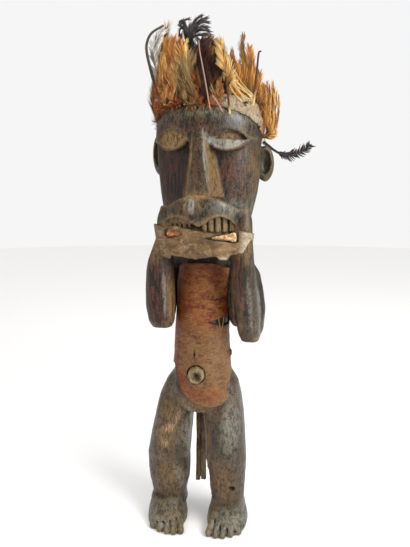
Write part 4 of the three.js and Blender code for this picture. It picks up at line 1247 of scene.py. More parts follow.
class RELIQUARY_OT_torso_hide(bpy.types.Operator):
    """Wraps the red-brown skin round the trunk, with its tear, its ragged edges and its navel hole"""
    bl_idname = "reliquary.torso_hide"
    bl_label = "Trunk skin"

    def execute(self, context):
        hides = context.scene.reliquary_hides

        def keep(u, v):
            angle = hide_angle(u)
            spot = hide_face(u, v, 2.5)
            x = spot[:, 0]
            ragged = 1.6 * layered_noise(spot, 9.0, 61)
            level = v - hide_low(angle) - 1.5 + ragged
            top = HIDE_TOP - 9 * np.abs(np.sin(np.radians(angle))) ** 3 - v - 1.5 + 0.5 * ragged
            level = np.minimum(level, top)
            tear = np.abs(v - np.interp(x, *TEAR_MIDDLE)) - np.interp(x, *TEAR_HALF_HEIGHT) - 0.5 * ragged
            tear = np.maximum(tear, TEAR_START - x)
            navel = np.hypot(x - NAVEL[0] + 0.9, v - NAVEL[1]) - NAVEL_RADIUS - 1.0 - 0.5 * ragged
            crack = np.abs(v - 353.5 - 0.05 * (x - 20) - 0.4 * ragged) - 0.5 * ease(17, 22, x) + 0.2
            crack = np.maximum(crack, np.maximum(18 - x, x - 42))
            slit = np.hypot((x + 1.7 + 0.5 * ragged) / 0.9, (v - 277.5) / 3.6) * 0.9 - 0.9
            openings = np.minimum.reduce([level, tear, navel, crack, slit])
            return np.where(np.abs(angle) < 100, openings, level)

        def place(u, v, layer):
            angle = hide_angle(u)
            around = np.abs(angle)
            spot = hide_face(u, v, 2.0)
            on_wood = hide_face(u, v, 0)[:, 0]
            folds = layered_noise(spot * [0.45, 0.45, 1.0], 9.0, 71, 3)
            slanting = np.stack([spot[:, 0] + 0.6 * v, spot[:, 1], v * 1.6], axis=1)
            diagonal = layered_noise(slanting, 26.0, 75, 2)
            low_curl = ease(14, 0, v - hide_low(angle)) * (around < 75)
            outer = 0.5 + hides.thickness + hides.wrinkle * (0.6 * folds + 0.7 * diagonal) + 1.2 * low_curl
            ring = np.hypot(on_wood - NAVEL[0], v - NAVEL[1]) - NAVEL_RADIUS
            outer += 1.4 * ease(12, 2, ring) * (around < 60)
            outer -= 0.9 * hide_crease(on_wood, v) * (around < 80)
            outer += 2.6 * ease(12, 6, np.abs(angle - SEAM_ANGLE)) * ease(*STRIP_FOOT, v)
            outer += 3.0 * ease(9, 5, np.abs(angle - SEAM_ANGLE)) * ease(6, 3, np.abs(v - NUB_HEIGHT))
            return hide_face(u, v, outer if layer else np.clip(outer - 0.6, 0.3, 0.35))

        u = np.linspace(0, 2 * math.pi * HIDE_RADIUS, 235)[:-1]
        points, faces, flat_u, flat_v = cut_sheet(u, np.arange(196, 410, 1.35), keep, place, wrap=True)
        x, y, z = points.T
        broad = layered_noise(points, 30.0, 81)
        ragged = raggedness(points)
        off_seam = np.abs(hide_angle(flat_u) - SEAM_ANGLE)
        red = 0.2 + 0.8 * ease(15, -30, x) * ease(275, 315, z) + 0.4 * ease(365, 400, z) + 0.6 * broad
        low_red = np.maximum.reduce([patch(points, ragged, (14, 222), (21, 12), soft=0.9),
                                     patch(points, ragged, (-17, 240), (9, 26), 25, 0.8),
                                     0.8 * patch(points, ragged, (-31, 258), (7, 32))])
        low_red *= np.clip(0.8 + 0.8 * layered_noise(points, 7.0, 83), 0, 1)
        pale = 1.1 * ease(330, 285, z) * ease(-42, -8, x) + 0.5 * broad
        strip = ease(13, 8, off_seam) * ease(*STRIP_FOOT, z)
        red, pale = np.maximum(red * (1 - 0.5 * pale), low_red), np.maximum(pale * (1 - low_red), strip)
        # Darker along the skin's cut edges, painted shade in the crease that runs between the legs, dirt in
        # blotches, and a dark nub beside the seam
        grime_and_shade = 0.8 * ease(1.6, 0.2, keep(flat_u, flat_v)) + 0.7 * hide_crease(x, z) * (y < 0)
        grime_and_shade += 0.4 * ease(0.2, 0.6, layered_noise(points, 8.0, 85))
        grime_and_shade += ease(8, 5, off_seam) * ease(6, 3, np.abs(z - NUB_HEIGHT))
        finish = dried_hide("dried skin", hides.trunk_light, hides.trunk_deep, hides.trunk_pale,
                            (2.4, 2.4, 1.2), contrast=1.15)
        make_piece("trunk_skin", points, [faces], finish, ["torso_hide"],
                   hide_traits(red, pale, grime_and_shade))
        return {"FINISHED"}


# The band from above, and its edges' heights at shares of its length
BAND_PATH = [
    [-49, -44], [-50.5, -57], [-44, -70], [-20, -78.5], [8, -80.5], [34, -78.5], [56, -70], [71, -61],
    [77, -47],
]
BAND_LOW = [
    (0, 436), (0.07, 431), (0.15, 423), (0.2, 415), (0.28, 413), (0.3, 417), (0.42, 415), (0.5, 413),
    (0.6, 416), (0.66, 417), (0.69, 412.5), (0.75, 412.5), (0.78, 418), (0.85, 420), (1, 425),
]
BAND_HIGH = [
    (0, 455), (0.15, 458), (0.25, 454), (0.35, 456), (0.5, 450), (0.66, 446), (0.75, 447), (0.85, 449),
    (1, 446),
]
# Each slit's first and last x, and along x the height of its middle and half its own height
BAND_SLITS = [
    (-32, -8, [(-31, 446), (-9, 445)], [(-32, 3), (-28, 6.2), (-20, 5.0), (-8, 0.8)]),
    (22, 61, [(27, 440), (60, 442.5)], [(22, 0.4), (30, 2.4), (45, 5.5), (56, 8.4), (60, 7.5)]),
]
BAND_LEAN = 0.12


def drawn(pairs, x):
    """The height at x of a line drawn through pairs of x and height."""
    return np.interp(x, *zip(*pairs))


def smooth_path(points, count):
    """Evenly spaced points on a smooth curve through the given points."""
    points = np.asarray(points, float)
    ahead = np.vstack([2 * points[0] - points[1], points, 2 * points[-1] - points[-2]])
    fine = []
    for i in range(1, len(ahead) - 2):
        a, b, c, d = ahead[i - 1:i + 3]
        t = np.linspace(0, 1, 24, endpoint=i == len(ahead) - 3)[:, None]
        fine.append(0.5 * (2 * b + (c - a) * t + (2 * a - 5 * b + 4 * c - d) * t ** 2
                           + (3 * b - a - 3 * c + d) * t ** 3))
    fine = np.concatenate(fine)
    reach = np.concatenate([[0], np.cumsum(np.linalg.norm(np.diff(fine, axis=0), axis=1))])
    even = np.linspace(0, reach[-1], count)
    return rows_at(even, reach, fine), reach[-1]


class RELIQUARY_OT_mouth_band(bpy.types.Operator):
    """Lays the rawhide band over the lower mouth and both hands, with its two slits"""
    bl_idname = "reliquary.mouth_band"
    bl_label = "Mouth band"

    def execute(self, context):
        hides = context.scene.reliquary_hides
        path, length = smooth_path(BAND_PATH, 240)
        ways = unit(np.gradient(path, axis=0))
        reach = np.linspace(0, length, len(path))

        def keep(u, v):
            x, y = rows_at(u, reach, path).T
            ragged = 0.9 * layered_noise(np.stack([x, y, v], axis=1), 7.0, 91)
            level = np.minimum(v - drawn(BAND_LOW, u / length), drawn(BAND_HIGH, u / length) - v) - 0.3 + ragged
            level = np.minimum(level, np.minimum(u, length - u) - 0.8 + ragged)
            for first, last, middle, half_height in BAND_SLITS:
                slit = np.abs(v - drawn(middle, x) + 0.3 * ragged) - drawn(half_height, x)
                level = np.minimum(level, np.maximum(slit, np.maximum(first - x, x - last)))
            return level

        def place(u, v, layer):
            x, y = rows_at(u, reach, path).T
            way_x, way_y = rows_at(u, reach, ways).T
            spot = np.stack([x, y, v], axis=1)
            creases = 0.55 * layered_noise(spot * [0.4, 0.4, 1.0], 6.0, 95, 3)
            creases += 0.3 * layered_noise(spot, 12.0, 99, 2)
            depth = 2.1 + creases if layer else 0.2 * creases
            offset = depth - BAND_LEAN * (drawn(BAND_HIGH, u / length) - v)
            return np.stack([x + way_y * offset, y - way_x * offset, v], axis=1)

        points, faces, flat_u, flat_v = cut_sheet(np.arange(0, length, 1.0), np.arange(409, 461, 0.9), keep, place)
        x, y, z = points.T
        broad = layered_noise(points, 18.0, 101)
        pale = 0.8 * ease(60, 70, x) + 0.9 * ease(34, 44, x) * ease(420, 414, z) + 0.3 * broad
        # Darker along the band's cut edges, and in blotches
        grime_and_shade = 0.7 * ease(1.2, 0.1, keep(flat_u, flat_v))
        grime_and_shade += 0.3 * ease(0.25, 0.6, layered_noise(points * [0.5, 0.5, 1], 5.0, 105))
        finish = dried_hide("rawhide", hides.band_light, hides.band_deep, hides.band_pale, (2.6, 2.6, 1.2),
                            contrast=0.5)
        make_piece("band", points, [faces], finish, ["mouth_band"],
                   hide_traits(0.2 + 0.5 * broad, pale, grime_and_shade))
        return {"FINISHED"}


# Each bone's side, its two ends, its radius at shares of its length, and its two colours
RELIC_BONES = [
    ("left", (-30, -70.5, 445.5), (-10, -75, 445),
     [(0, 3.6), (0.06, 5.3), (0.25, 5.2), (0.5, 4.0), (0.8, 3.7), (0.95, 3.3), (1, 2.0)], "#cf8a48", "#8a4a20"),
    ("right", (29, -75, 440), (58, -66, 441),
     [(0, 1.0), (0.1, 2.0), (0.4, 3.2), (0.7, 4.2), (0.86, 6.0), (0.96, 6.2), (1, 4.4)], "#dcc396", "#a06a3c"),
]


class RELIQUARY_OT_relic_bones(bpy.types.Operator):
    """Sets the two small bones in the band's slits"""
    bl_idname = "reliquary.relic_bones"
    bl_label = "Relic bones"

    def execute(self, context):
        rows = np.linspace(0, 1, 40)
        for side_name, start, end, sizes, body, stained in RELIC_BONES:
            start, end = np.array(start), np.array(end)
            path = start + rows[:, None] * (end - start)
            points, faces = tube(path, drawn(sizes, rows), 28, 111, 0.45, 0.85)
            groove = np.abs(points[:, 2] - path[:, 2].mean()) < 1.2
            share = np.abs((points[:, 0] - start[0]) / (end[0] - start[0]))
            points[:, 1] += 0.9 * groove * ease(0.7, 0.9, share)
            make_piece("bone_" + side_name, points, faces, old_bone("old bone", linear(body), linear(stained)),
                       ["relic_bone_" + side_name])
        return {"FINISHED"}


class RELIQUARY_OT_tear_lacing(bpy.types.Operator):
    """Sews the thread across the tear in the trunk's skin"""
    bl_idname = "reliquary.tear_lacing"
    bl_label = "Tear lacing"

    def execute(self, context):
        stitches = []
        for i, height in enumerate((329, 313, 313, 329)):
            x = 29 + i * 2.1
            round_trunk = HIDE_RADIUS * math.asin(min(1, (x - 0.5) / 40.0))
            y = hide_face(np.array([round_trunk]), np.array([321.0]), 3.9)[0, 1]
            stitches.append([x, y, height])
        count = 90
        path, _ = smooth_path(stitches, count)
        twist = np.arange(count) * 1.1
        path += 0.25 * np.stack([np.sin(twist), np.cos(twist), np.zeros(count)], axis=1)
        points, faces = tube(path, 0.65, 8, 115, 0.25)
        thread = sinew("twisted thread", linear("#a58a62"), linear("#4a3a26"))
        make_piece("lacing", points, faces, thread, ["tear_lacing"])
        return {"FINISHED"}


TAIL_PATH = [
    [-9, 36.6, 262], [-10, 38.2, 238], [-11, 42.6, 205], [-12.5, 41, 165], [-12, 38, 100], [-12, 36, 37],
]
TAIL_SPLIT = -0.5


class RELIQUARY_OT_hide_tail(bpy.types.Operator):
    """Hangs the strip of hide behind, between the legs"""
    bl_idname = "reliquary.hide_tail"
    bl_label = "Hide tail"

    def execute(self, context):
        path, length = smooth_path(TAIL_PATH, 200)
        reach = np.linspace(0, length, 200)

        def keep(u, v):
            wobble = 0.8 * lattice_noise(np.stack([u * 0, v, v * 0], axis=1), 22.0, 121)
            edge = 8.4 - 0.7 * np.sin(math.pi * v / length) + 0.7 * wobble - np.abs(u)
            bottom = length - 1.0 - 2.5 * ease(-1, 2, u) - v + 0.5 * np.sin(u * 2.4)
            notch = np.hypot(u - TAIL_SPLIT, (v - length) / 8) * 1.2 - 1.3
            return np.minimum(np.minimum(edge, bottom), np.minimum(notch, v - 0.5))

        def place(u, v, layer):
            spot = rows_at(v, reach, path)
            ridge = 0.7 * np.abs(lattice_noise(np.stack([u * 1.6, v * 0.08, u * 0], axis=1), 2.2, 125))
            split = 0.8 * ease(1.2, 0, np.abs(u - TAIL_SPLIT))
            depth = 1.7 - split + ridge * 0.6
            spot[:, 0] += u
            spot[:, 1] += depth if layer else -depth
            return spot

        across, down = np.arange(-9, 9.1, 0.75), np.arange(0, length + 1, 1.4)
        points, faces, flat_u, flat_v = cut_sheet(across, down, keep, place)
        # Painted shade along the groove of the split, and darker along the strip's cut edges
        grime_and_shade = 0.8 * ease(1.2, 0.2, np.abs(flat_u - TAIL_SPLIT)) + 0.4 * ease(1, 0, keep(flat_u, flat_v))
        finish = dried_hide("tail hide", linear("#94744c"), linear("#62442a"), linear("#7f7a66"),
                            (1.2, 1.2, 9.0))
        make_piece("tail", points, [faces], finish, ["hide_tail"],
                   hide_traits(0.6 * ease(0, -4, flat_u), 0.5 * ease(0, 4, flat_u), grime_and_shade))
        return {"FINISHED"}


CAP_THICKNESS = 5.3


def cap_place(angle, z, grow=CAP_THICKNESS):
    """A place that far outside the head, at an angle in degrees from the front and a height."""
    z = np.asarray(z, float)
    turn = np.radians(angle)
    table = np.array(HEAD[4:], float)
    level = BROW + (z - BROW) / (1 + grow / (CROWN - BROW))
    x, y, half_width, half_depth = (np.interp(level, table[:, 0], table[:, k]) for k in range(1, 5))
    return np.stack(np.broadcast_arrays(x + squarish(np.sin(turn)) * (half_width + grow),
                                        y - squarish(np.cos(turn)) * (half_depth + grow), z), axis=-1)


def cap_edge(x, y):
    """Height of the cap's lower edge, high in front and low behind the right ear."""
    return 581 - 0.109 * (x - HEAD_X) - 0.287 * (y - 3)


class RELIQUARY_OT_hair_cap(bpy.types.Operator):
    """Lays the hairy hide cap on the crown, with the loose hairs along its edge"""
    bl_idname = "reliquary.hair_cap"
    bl_label = "Hair cap"

    def execute(self, context):
        hides = context.scene.reliquary_hides
        top = CROWN + CAP_THICKNESS
        radius = 70.0
        slope = [(0, top - 0.6), (24, top - 0.8), (29, top - 2), (48, 629), (66, 616), (92, 590), (118, 564),
                 (136, 548)]
        centre = np.array([HEAD_X + 1, 4.0])

        def spot_at(u, v, grow):
            share = np.clip(v / 24, 0.02, 1)
            place = cap_place(np.degrees(u / radius), np.minimum(drawn(slope, v), top), grow)
            place[:, :2] = centre + (place[:, :2] - centre) * share[:, None]
            return place

        def keep(u, v):
            place = spot_at(u, v, 5.0)
            ragged = 3.0 * layered_noise(place, 11.0, 131)
            return place[:, 2] - cap_edge(place[:, 0], place[:, 1]) - 3.4 + ragged

        def place(u, v, layer):
            spot = spot_at(u, v, 5.0)
            lumps = layered_noise(spot, 7.0, 135, 3)
            grow = np.minimum(3.6 + 1.2 * lumps, CAP_THICKNESS)
            thin = ease(0, 12, keep(u, v))
            return spot_at(u, v, np.where(layer, 0.9 + (grow - 0.9) * thin, 0.4))

        u = np.linspace(0, 2 * math.pi * radius, 221)[:-1]
        v = np.concatenate([np.arange(0, 24, 2.4), np.arange(24, 134, 1.7)])
        points, faces, _, _ = cut_sheet(-u, v, keep, place, wrap=True)
        x, y, z = points.T
        pale = 1.2 * ease(32, 42, x) * ease(5, -25, y) + 0.3 * layered_noise(points, 12.0, 141)
        # Dark holes in the pale bald patch, and darker blotches on the cap's left side
        holes = ease(0.52, 0.62, lattice_noise(points, 4.2, 143)) * ease(32, 42, x)
        grime_and_shade = 0.4 * ease(0.1, 0.6, layered_noise(points, 6.0, 145)) * ease(25, 5, x) + holes
        finish = dried_hide("haired hide", hides.cap_light, hides.cap_deep, hides.cap_pale, (1.0, 1.0, 5.0),
                            rough=0.7)
        make_piece("cap", points, [faces], finish, ["headdress_cap"],
                   hide_traits(0.7 - pale, pale, grime_and_shade))
        self.grow_hairs()
        return {"FINISHED"}

    def grow_hairs(self):
        """Loose hairs, thickest along the cap's edge and over the figure's right temple."""
        rng = np.random.default_rng(151)
        count = 1500
        angle = np.where(rng.random(count) < 0.35, rng.uniform(-100, -25, count),
                         rng.uniform(-180, 180, count))
        edge = cap_edge(*cap_place(angle, 590.0)[:, :2].T)
        height = np.minimum(edge + 3 + rng.random(count) ** 1.6 * 26, CROWN)
        start = cap_place(angle, height, 3.0)
        bald = (start[:, 0] > 38) & (start[:, 1] < -12)
        outward = unit(cap_place(angle, height, 20) - start)
        around = np.cross(outward, [0, 0, 1.0])
        length = rng.uniform(5, 13, count)
        low = height < edge + 9
        rise = np.where(low & (rng.random(count) < 0.6), rng.uniform(-0.9, 0.2, count),
                        rng.uniform(0.3, 1.4, count))
        lean = rng.normal(0, 0.75, count)
        way = outward * rng.uniform(0.12, 0.4, count)[:, None] + around * lean[:, None]
        way[:, 2] += rise
        end = start + unit(way) * length[:, None]
        middle = (start + end) / 2 + outward * (0.16 * length)[:, None]
        kept = ~bald | (rng.random(count) < 0.06)
        width = rng.uniform(0.4, 0.9, kept.sum())
        points, faces, along = strands(start[kept], middle[kept], end[kept], width, outward[kept])
        shade = np.repeat(rng.random(kept.sum()), 12)
        tint = mixed(shade, linear("#4a1c10"), linear("#b06a34"))
        tint = mixed(0.6 * along, tint, linear("#cf9a5c"))
        make_piece("cap_hairs", points, faces, feather_keratin("coarse hair"), ["headdress_cap"],
                   {"tint": tint})


class Kind:
    """What a plume looks like: its colours at the foot, over the vane, at the barbs' tips and of its
    quill, the barbs' angle in degrees, how ragged and how curled they are, and how wide and how far
    apart they are beside the usual. A bare quill has an angle of 0."""

    def __init__(self, foot, vane, tip, quill, angle=24, ragged=0.35, curl=0.1, barb=1.0, gap=1.0,
                 radius=0.5):
        self.foot, self.vane, self.tip, self.quill = map(linear, (foot, vane, tip, quill))
        self.angle, self.ragged, self.curl = angle, ragged, curl
        self.barb, self.gap, self.radius = barb, gap, radius


KINDS = {
    "gold": Kind("#42200c", "#a86a28", "#d89c4c", "#8a5a2c"),
    "bright": Kind("#6a3a16", "#c88a3c", "#ebc07a", "#a87a44"),
    "rust": Kind("#34140c", "#8a4618", "#b87034", "#6a3a1c"),
    "red": Kind("#4a160e", "#9c4a2a", "#cc7a44", "#7a3420", angle=30, ragged=0.6, curl=0.4, barb=0.7),
    "maroon": Kind("#120806", "#2e130e", "#432014", "#523024", angle=34),
    "brown": Kind("#2e1608", "#704216", "#a06a2c", "#6a4220"),
    "olive": Kind("#4a3212", "#86622a", "#a8823e", "#6a4a20", angle=15),
    "down": Kind("#34200f", "#7c5a32", "#b0925f", "#7a5c38", angle=22, ragged=0.6, curl=0.5, barb=0.7),
    "grey": Kind("#2c2620", "#5e5246", "#8a7e70", "#5e5246", angle=42, ragged=0.5, curl=0.5, barb=0.7),
    "black": Kind("#050403", "#0d0b0b", "#171313", "#0a0808", angle=28),
    "strand": Kind("#0c0a0a", "#2c2725", "#4a4440", "#0c0a0a", angle=13, ragged=0.2, radius=0.8),
    "white": Kind("#8a7a64", "#d2cabe", "#ece6dc", "#9a8a74", angle=36, curl=0.3),
    "web": Kind("#c4b8a4", "#dcd6cc", "#cfc8bc", "#8a7a68", angle=40, ragged=0.12, barb=3.4, gap=2.4,
                radius=0.7),
    "cream": Kind("#a0702c", "#d4a258", "#ecca90", "#a8661c", angle=24, ragged=0.2, barb=1.3),
    "quill": Kind("#b67a62", "#9a7a6a", "#9a7a6a", "#9a7a6a", angle=0),
    "stub": Kind("#d4b274", "#5a3424", "#3c2018", "#3c2018", angle=0),
    "thin": Kind("#a87050", "#7a4a38", "#6a4034", "#6a4034", angle=0),
    "fair": Kind("#ecd6a8", "#dcbc7c", "#dcbc7c", "#dcbc7c", angle=0),
    "shaft": Kind("#6a5a48", "#3e2e22", "#4a3a2e", "#3e2e22", angle=0),
}


def mixed(share, below, above):
    """Colours between two, one for each share."""
    share = np.asarray(share)[:, None]
    return below * (1 - share) + above * share


PLUME_ROWS = 25
QUILL_SIDES = 8


def plume(rng, points, width, kind, settings):
    """One feather: its quill, and its barbs as separate closed strips, each with its tint."""
    path, length = smooth_path(points, PLUME_ROWS)
    share = np.linspace(0, 1, PLUME_ROWS)
    rise = np.append(np.repeat(share, QUILL_SIDES), [0, 1])
    if kind.angle == 0:
        quill, faces = tube(path, width / 2 * np.interp(share, [0, 0.12, 1], [1.0, 0.85, 0.6]), QUILL_SIDES,
                            flat=0.35 if width > 4 else 1.0)
        return [(quill, faces, mixed(ease(0.1, 0.35, rise), kind.foot, mixed(rise, kind.vane, kind.tip)))]
    quill, faces = tube(path, kind.radius * np.interp(share, [0, 1], [1.0, 0.35]), QUILL_SIDES)
    parts = [(quill, faces, mixed(rise * 0, kind.quill, kind.quill))]
    places = np.arange(0.04 * length, length - 0.5, settings.barb_gap * kind.gap)
    count = len(places)
    ahead = np.gradient(path, axis=0)
    radial = path[len(path) // 2] - np.array([HEAD_X, 4.0, 0.0])
    radial[2] = 0
    outward = radial / np.linalg.norm(radial) + np.array([0, -0.7 * ease(40, 10, path[0, 1]), 0.15])
    for sign in (-1, 1):
        rise = np.clip(places / length + rng.normal(0, 0.004, count), 0, 1)
        start, way = rows_at(rise, share, path), unit(rows_at(rise, share, ahead))
        flat = unit(np.cross(way, outward))
        face = np.cross(flat, way)
        spread = [rise * length, rise * 0 + sign * 9, rise * 0 + 50 * rng.random()]
        clump = lattice_noise(np.stack(spread, axis=1), 6.0, 161)
        lean = np.radians(np.clip(kind.angle * (1 + 0.35 * clump + rng.normal(0, 0.12, count)), 8, 80))
        reach = np.minimum(width / 2 / math.sin(math.radians(kind.angle)), 0.45 * length)
        swell = np.interp(rise, [0, 0.2, 0.6, 0.85, 1], [0.6, 1.0, 0.95, 0.75, 0.4])
        size = (reach * swell * (1 - kind.ragged * rng.random(count) ** 2) * (1 + 0.15 * clump))[:, None]
        away = way * np.cos(lean)[:, None] + sign * flat * np.sin(lean)[:, None]
        away = away - face * rng.normal(0.12, 0.1, count)[:, None]
        end = start + away * size + way * (kind.curl * size)
        end += rng.normal(0, 0.05 + 0.25 * kind.curl, (count, 3)) * size * 0.5
        middle = start + away * (0.55 * size) - way * (0.2 * kind.curl * size)
        barb = rng.uniform(0.7, 1.2, count) * settings.barb_width * kind.barb
        points, faces, along = strands(start, middle, end, barb, face, 2)
        light = 1 + settings.unevenness * (rng.normal(-0.25, 0.45, count) + 1.2 * clump)
        tint = mixed(ease(0.02, 0.4, np.repeat(rise, 9)), kind.foot, kind.vane)
        tint = mixed(ease(0.3, 1.0, along), tint, kind.tip)
        parts.append((points, faces, np.clip(tint * np.repeat(np.clip(light, 0.25, 1.5), 9)[:, None], 0, 1)))
    return parts


# Barbs that reach further than this in front of the axis or behind it are drawn in, in mm
FEATHER_DEPTH = 78

# The plumes of each feather solid that the photo shows. Below the solid's name, each line is one plume:
# its kind, its width and then the x, y and z of points from its foot to its tip, in mm
SHOWN_FEATHERS = """
white_feather
shaft 5, -49 -46 621, -57 -50 654, -61 -51 673, -61 -50 685, -55 -48 697, -41 -42 707
web 26, -42 -44 623, -48 -46 646, -52 -48 669, -51 -47 684, -46 -44 696, -43 -43 701
down 15, -39 -40 628, -42 -40 667, -39 -38 705
rust 10, -48 -40 596, -51 -43 608, -50 -41 622
white 8, -47 -42 611, -50 -43 617, -46 -41 624
gold_hackle_1
gold 16, -42 -51 618, -43 -53 652, -41 -50 683
gold 16, -35 -54 614, -34 -59 649, -32 -56 683
bright 11, -37 -56 629, -39 -60 652, -38 -58 666
red 11, -41 -51 605, -41 -55 618, -36 -56 631
down 12, -34 -55 607, -29 -60 622, -32 -61 638
rust 11, -45 -51 622, -45 -54 641, -43 -51 660
red 9, -35 -52 604, -32 -56 609, -27 -55 615
red 9, -29 -55 604, -26 -58 608, -28 -60 615
maroon 9, -32 -51 611, -32 -55 640, -29 -52 670
bright 7, -35 -59 611, -31 -65 637, -34 -63 659
gold_hackle_2
gold 16, -26 -58 610, -25 -64 642, -23 -60 684
bright 13, -21 -61 610, -22 -68 635, -17 -64 663
rust 13, -24 -49 619, -23 -50 654, -18 -45 693
red 11, -22 -61 605, -24 -67 618, -18 -68 631
down 12, -15 -62 606, -9 -67 619, -13 -67 635
rust 12, -28 -64 629, -25 -67 646, -29 -64 664
red 9, -22 -57 602, -19 -61 607, -12 -60 610
red 9, -15 -59 602, -16 -63 607, -20 -64 612
maroon 8, -20 -56 611, -20 -60 637, -18 -58 659
bright 6, -24 -65 611, -18 -70 634, -22 -69 651
maroon_hackle
maroon 12, -21 -53 631, -23 -58 654, -21 -55 677
bright 15, -6 -64 646, -10 -67 662, -9 -63 677
rust 11, -11 -62 647, -13 -65 664, -17 -61 678
down 12, -8 -66 627, -4 -69 644, -8 -65 661
maroon 10, -13 -61 604, -12 -64 611, -14 -64 620
maroon 10, -7 -61 604, -5 -65 611, -2 -63 619
gold_hackle_3
down 18, -11 -63 608, -13 -68 635, -11 -65 657
down 22, 1 -66 605, -7 -72 628, -5 -68 655
down 22, 12 -66 604, 1 -75 623, 2 -70 650
brown 16, 15 -63 613, 9 -70 627, 6 -68 643
red 10, -1 -66 602, 4 -71 612, 0 -74 621
brown 10, 0 -62 602, 2 -65 609, 8 -63 615
rust 10, 7 -62 600, 10 -66 607, 6 -66 615
bright 6, -5 -69 606, -6 -75 624, -3 -71 643
maroon 8, 0 -62 607, -1 -68 626, 1 -65 647
rust 12, -5 -65 608, -2 -70 628, -6 -69 647
black_plume
black 7, 2 -48 628, -4 -54 659, -8 -53 685, -13 -52 698
black 18, 2 -51 638, -2 -56 656, -4 -54 679
strand 6, -5 -49 681, -2 -50 692, 7 -49 698, 16 -47 697
strand 6, -6 -49 685, -3 -49 699, 3 -47 708, 8 -45 712
strand 6, -5 -49 683, -1 -50 695, 8 -48 703, 17 -45 704
strand 6, -3 -50 676, 2 -51 686, 12 -50 688, 20 -47 688
strand 6, -4 -50 679, -1 -51 689, 10 -50 694, 19 -47 692
strand 6, -6 -49 687, -2 -49 697, 7 -48 705, 15 -45 709
strand 5, -10 -51 688, -14 -53 697, -16 -52 699, -14 -50 706
strand 5, -9 -51 691, -11 -52 699, -13 -51 705, -7 -49 708
strand 4, -10 -52 688, -15 -53 696, -17 -52 693, -18 -52 690
strand 4, -9 -51 692, -12 -52 702, -15 -52 706, -17 -51 703
dark_quill_feather
maroon 22, 20 -63 613, 15 -69 643, 13 -66 677
maroon 19, 26 -58 619, 23 -62 647, 24 -58 676
black 16, 12 -61 619, 8 -66 644, 7 -62 671
grey 14, 23 -56 658, 24 -56 671, 31 -51 680
maroon 18, 18 -64 649, 16 -66 664, 19 -61 680
brown 14, 20 -57 654, 20 -59 668, 23 -54 682
quill 2.2, 24 -65 598, 20 -75 630, 14 -76 661, 12 -72 674
maroon 12, 14 -60 600, 17 -66 609, 15 -68 619
maroon 24, 24 -58 602, 26 -62 618, 25 -64 638
short_quill
quill 2.6, 38 -62 595, 34 -67 603, 28 -71 611
thin 1.4, 40 -60 608, 39 -63 619, 36 -62 633
rust 10, 25 -56 605, 26 -60 613, 24 -62 623
brown_feather
brown 17, 30 -50 626, 27 -53 652, 25 -50 676
down 17, 34 -46 622, 31 -48 648, 29 -45 676
maroon 14, 30 -53 611, 30 -57 623, 31 -58 637
brown 12, 39 -47 608, 37 -51 617, 34 -54 627
rust 14, 23 -56 602, 26 -59 613, 27 -57 627
maroon 14, 36 -49 604, 36 -53 615, 35 -51 629
down 10, 32 -56 603, 31 -61 613, 29 -61 621
maroon 22, 34 -52 604, 34 -56 622, 32 -56 645
brown 16, 30 -57 602, 30 -61 618, 28 -63 633
gold 8, 37 -55 603, 36 -60 618, 35 -62 630
cream_feather
cream 15, 45 -59 633, 42 -63 645, 39 -63 661, 34 -60 676
fair 1.1, 72 -40 615, 53 -51 627, 46 -59 643, 43 -62 658, 37 -61 673, 32 -59 680
stub 3.4, 47 -57 593, 46 -62 611, 43 -63 633
fair 1.0, 73 -39 611, 63 -47 622, 52 -54 631, 46 -57 639
fair 1.0, 72 -39 616, 59 -48 627, 51 -54 633
fair 1.0, 67 -44 610, 57 -51 618, 51 -56 626
fair 1.0, 60 -49 608, 54 -54 614, 50 -57 620
fair 1.0, 64 -47 609, 56 -53 621, 48 -58 633
brown 12, 44 -45 605, 46 -49 615, 47 -48 628
gold 12, 58 -40 609, 53 -46 626, 45 -53 643
bright 12, 54 -42 609, 49 -50 622, 44 -56 637
fair 1.0, 72 -40 613, 59 -49 625, 47 -58 644
fair 1.0, 70 -42 610, 58 -50 620, 46 -59 643
fair 1.0, 73 -38 617, 61 -47 629, 48 -57 649
fair 1.0, 61 -47 608, 52 -54 616, 46 -58 626
gold 7, 66 -38 612, 54 -46 620, 47 -53 635
gold_feather_1
brown 17, 51 -42 616, 48 -45 640, 43 -41 665
gold 15, 57 -38 614, 53 -42 635, 49 -40 655
down 14, 50 -40 610, 49 -44 621, 48 -44 632
gold_feather_2
olive 9, 69 -27 615, 64 -31 645, 59 -31 673, 59 -28 691
gold 15, 71 -22 616, 67 -27 647, 67 -25 678
gold 16, 65 -30 616, 60 -35 639, 54 -35 656
maroon 16, 59 -17 619, 54 -20 642, 51 -19 658
brown 14, 63 -20 615, 61 -23 634, 59 -21 654
gold_feather_3
gold 15, 76 -14 617, 72 -18 642, 68 -17 671
gold 15, 79 -7 616, 77 -11 634, 78 -9 651
brown 15, 82 4 597, 79 1 618, 79 3 637
brown 16, 72 -4 617, 69 -7 638, 67 -5 659
grey_quill
stub 3.8, 73 -34 608, 77 -38 637, 79 -35 666, 82 -34 669
side_feather_1
gold 11, 88 12 580, 82 8 615, 81 9 642
gold 11, 90 17 581, 87 14 616, 86 16 645
brown 12, 86 19 583, 82 16 614, 83 17 641
gold 10, 89 10 580, 85 6 612, 84 8 636
side_feather_2
gold 11, 92 23 581, 93 22 618, 93 25 648
bright 9, 91 18 583, 90 16 614, 91 17 635
brown 12, 89 29 584, 89 29 617, 88 30 644
bright 8, 92 21 583, 96 21 615, 96 22 640
side_feather_3
gold 10, 94 30 582, 97 30 617, 98 32 638
brown 8, 95 32 582, 101 34 610, 99 34 625
brown 12, 92 36 585, 94 36 615, 94 37 640
gold 9, 94 26 583, 101 27 611, 101 28 631
"""
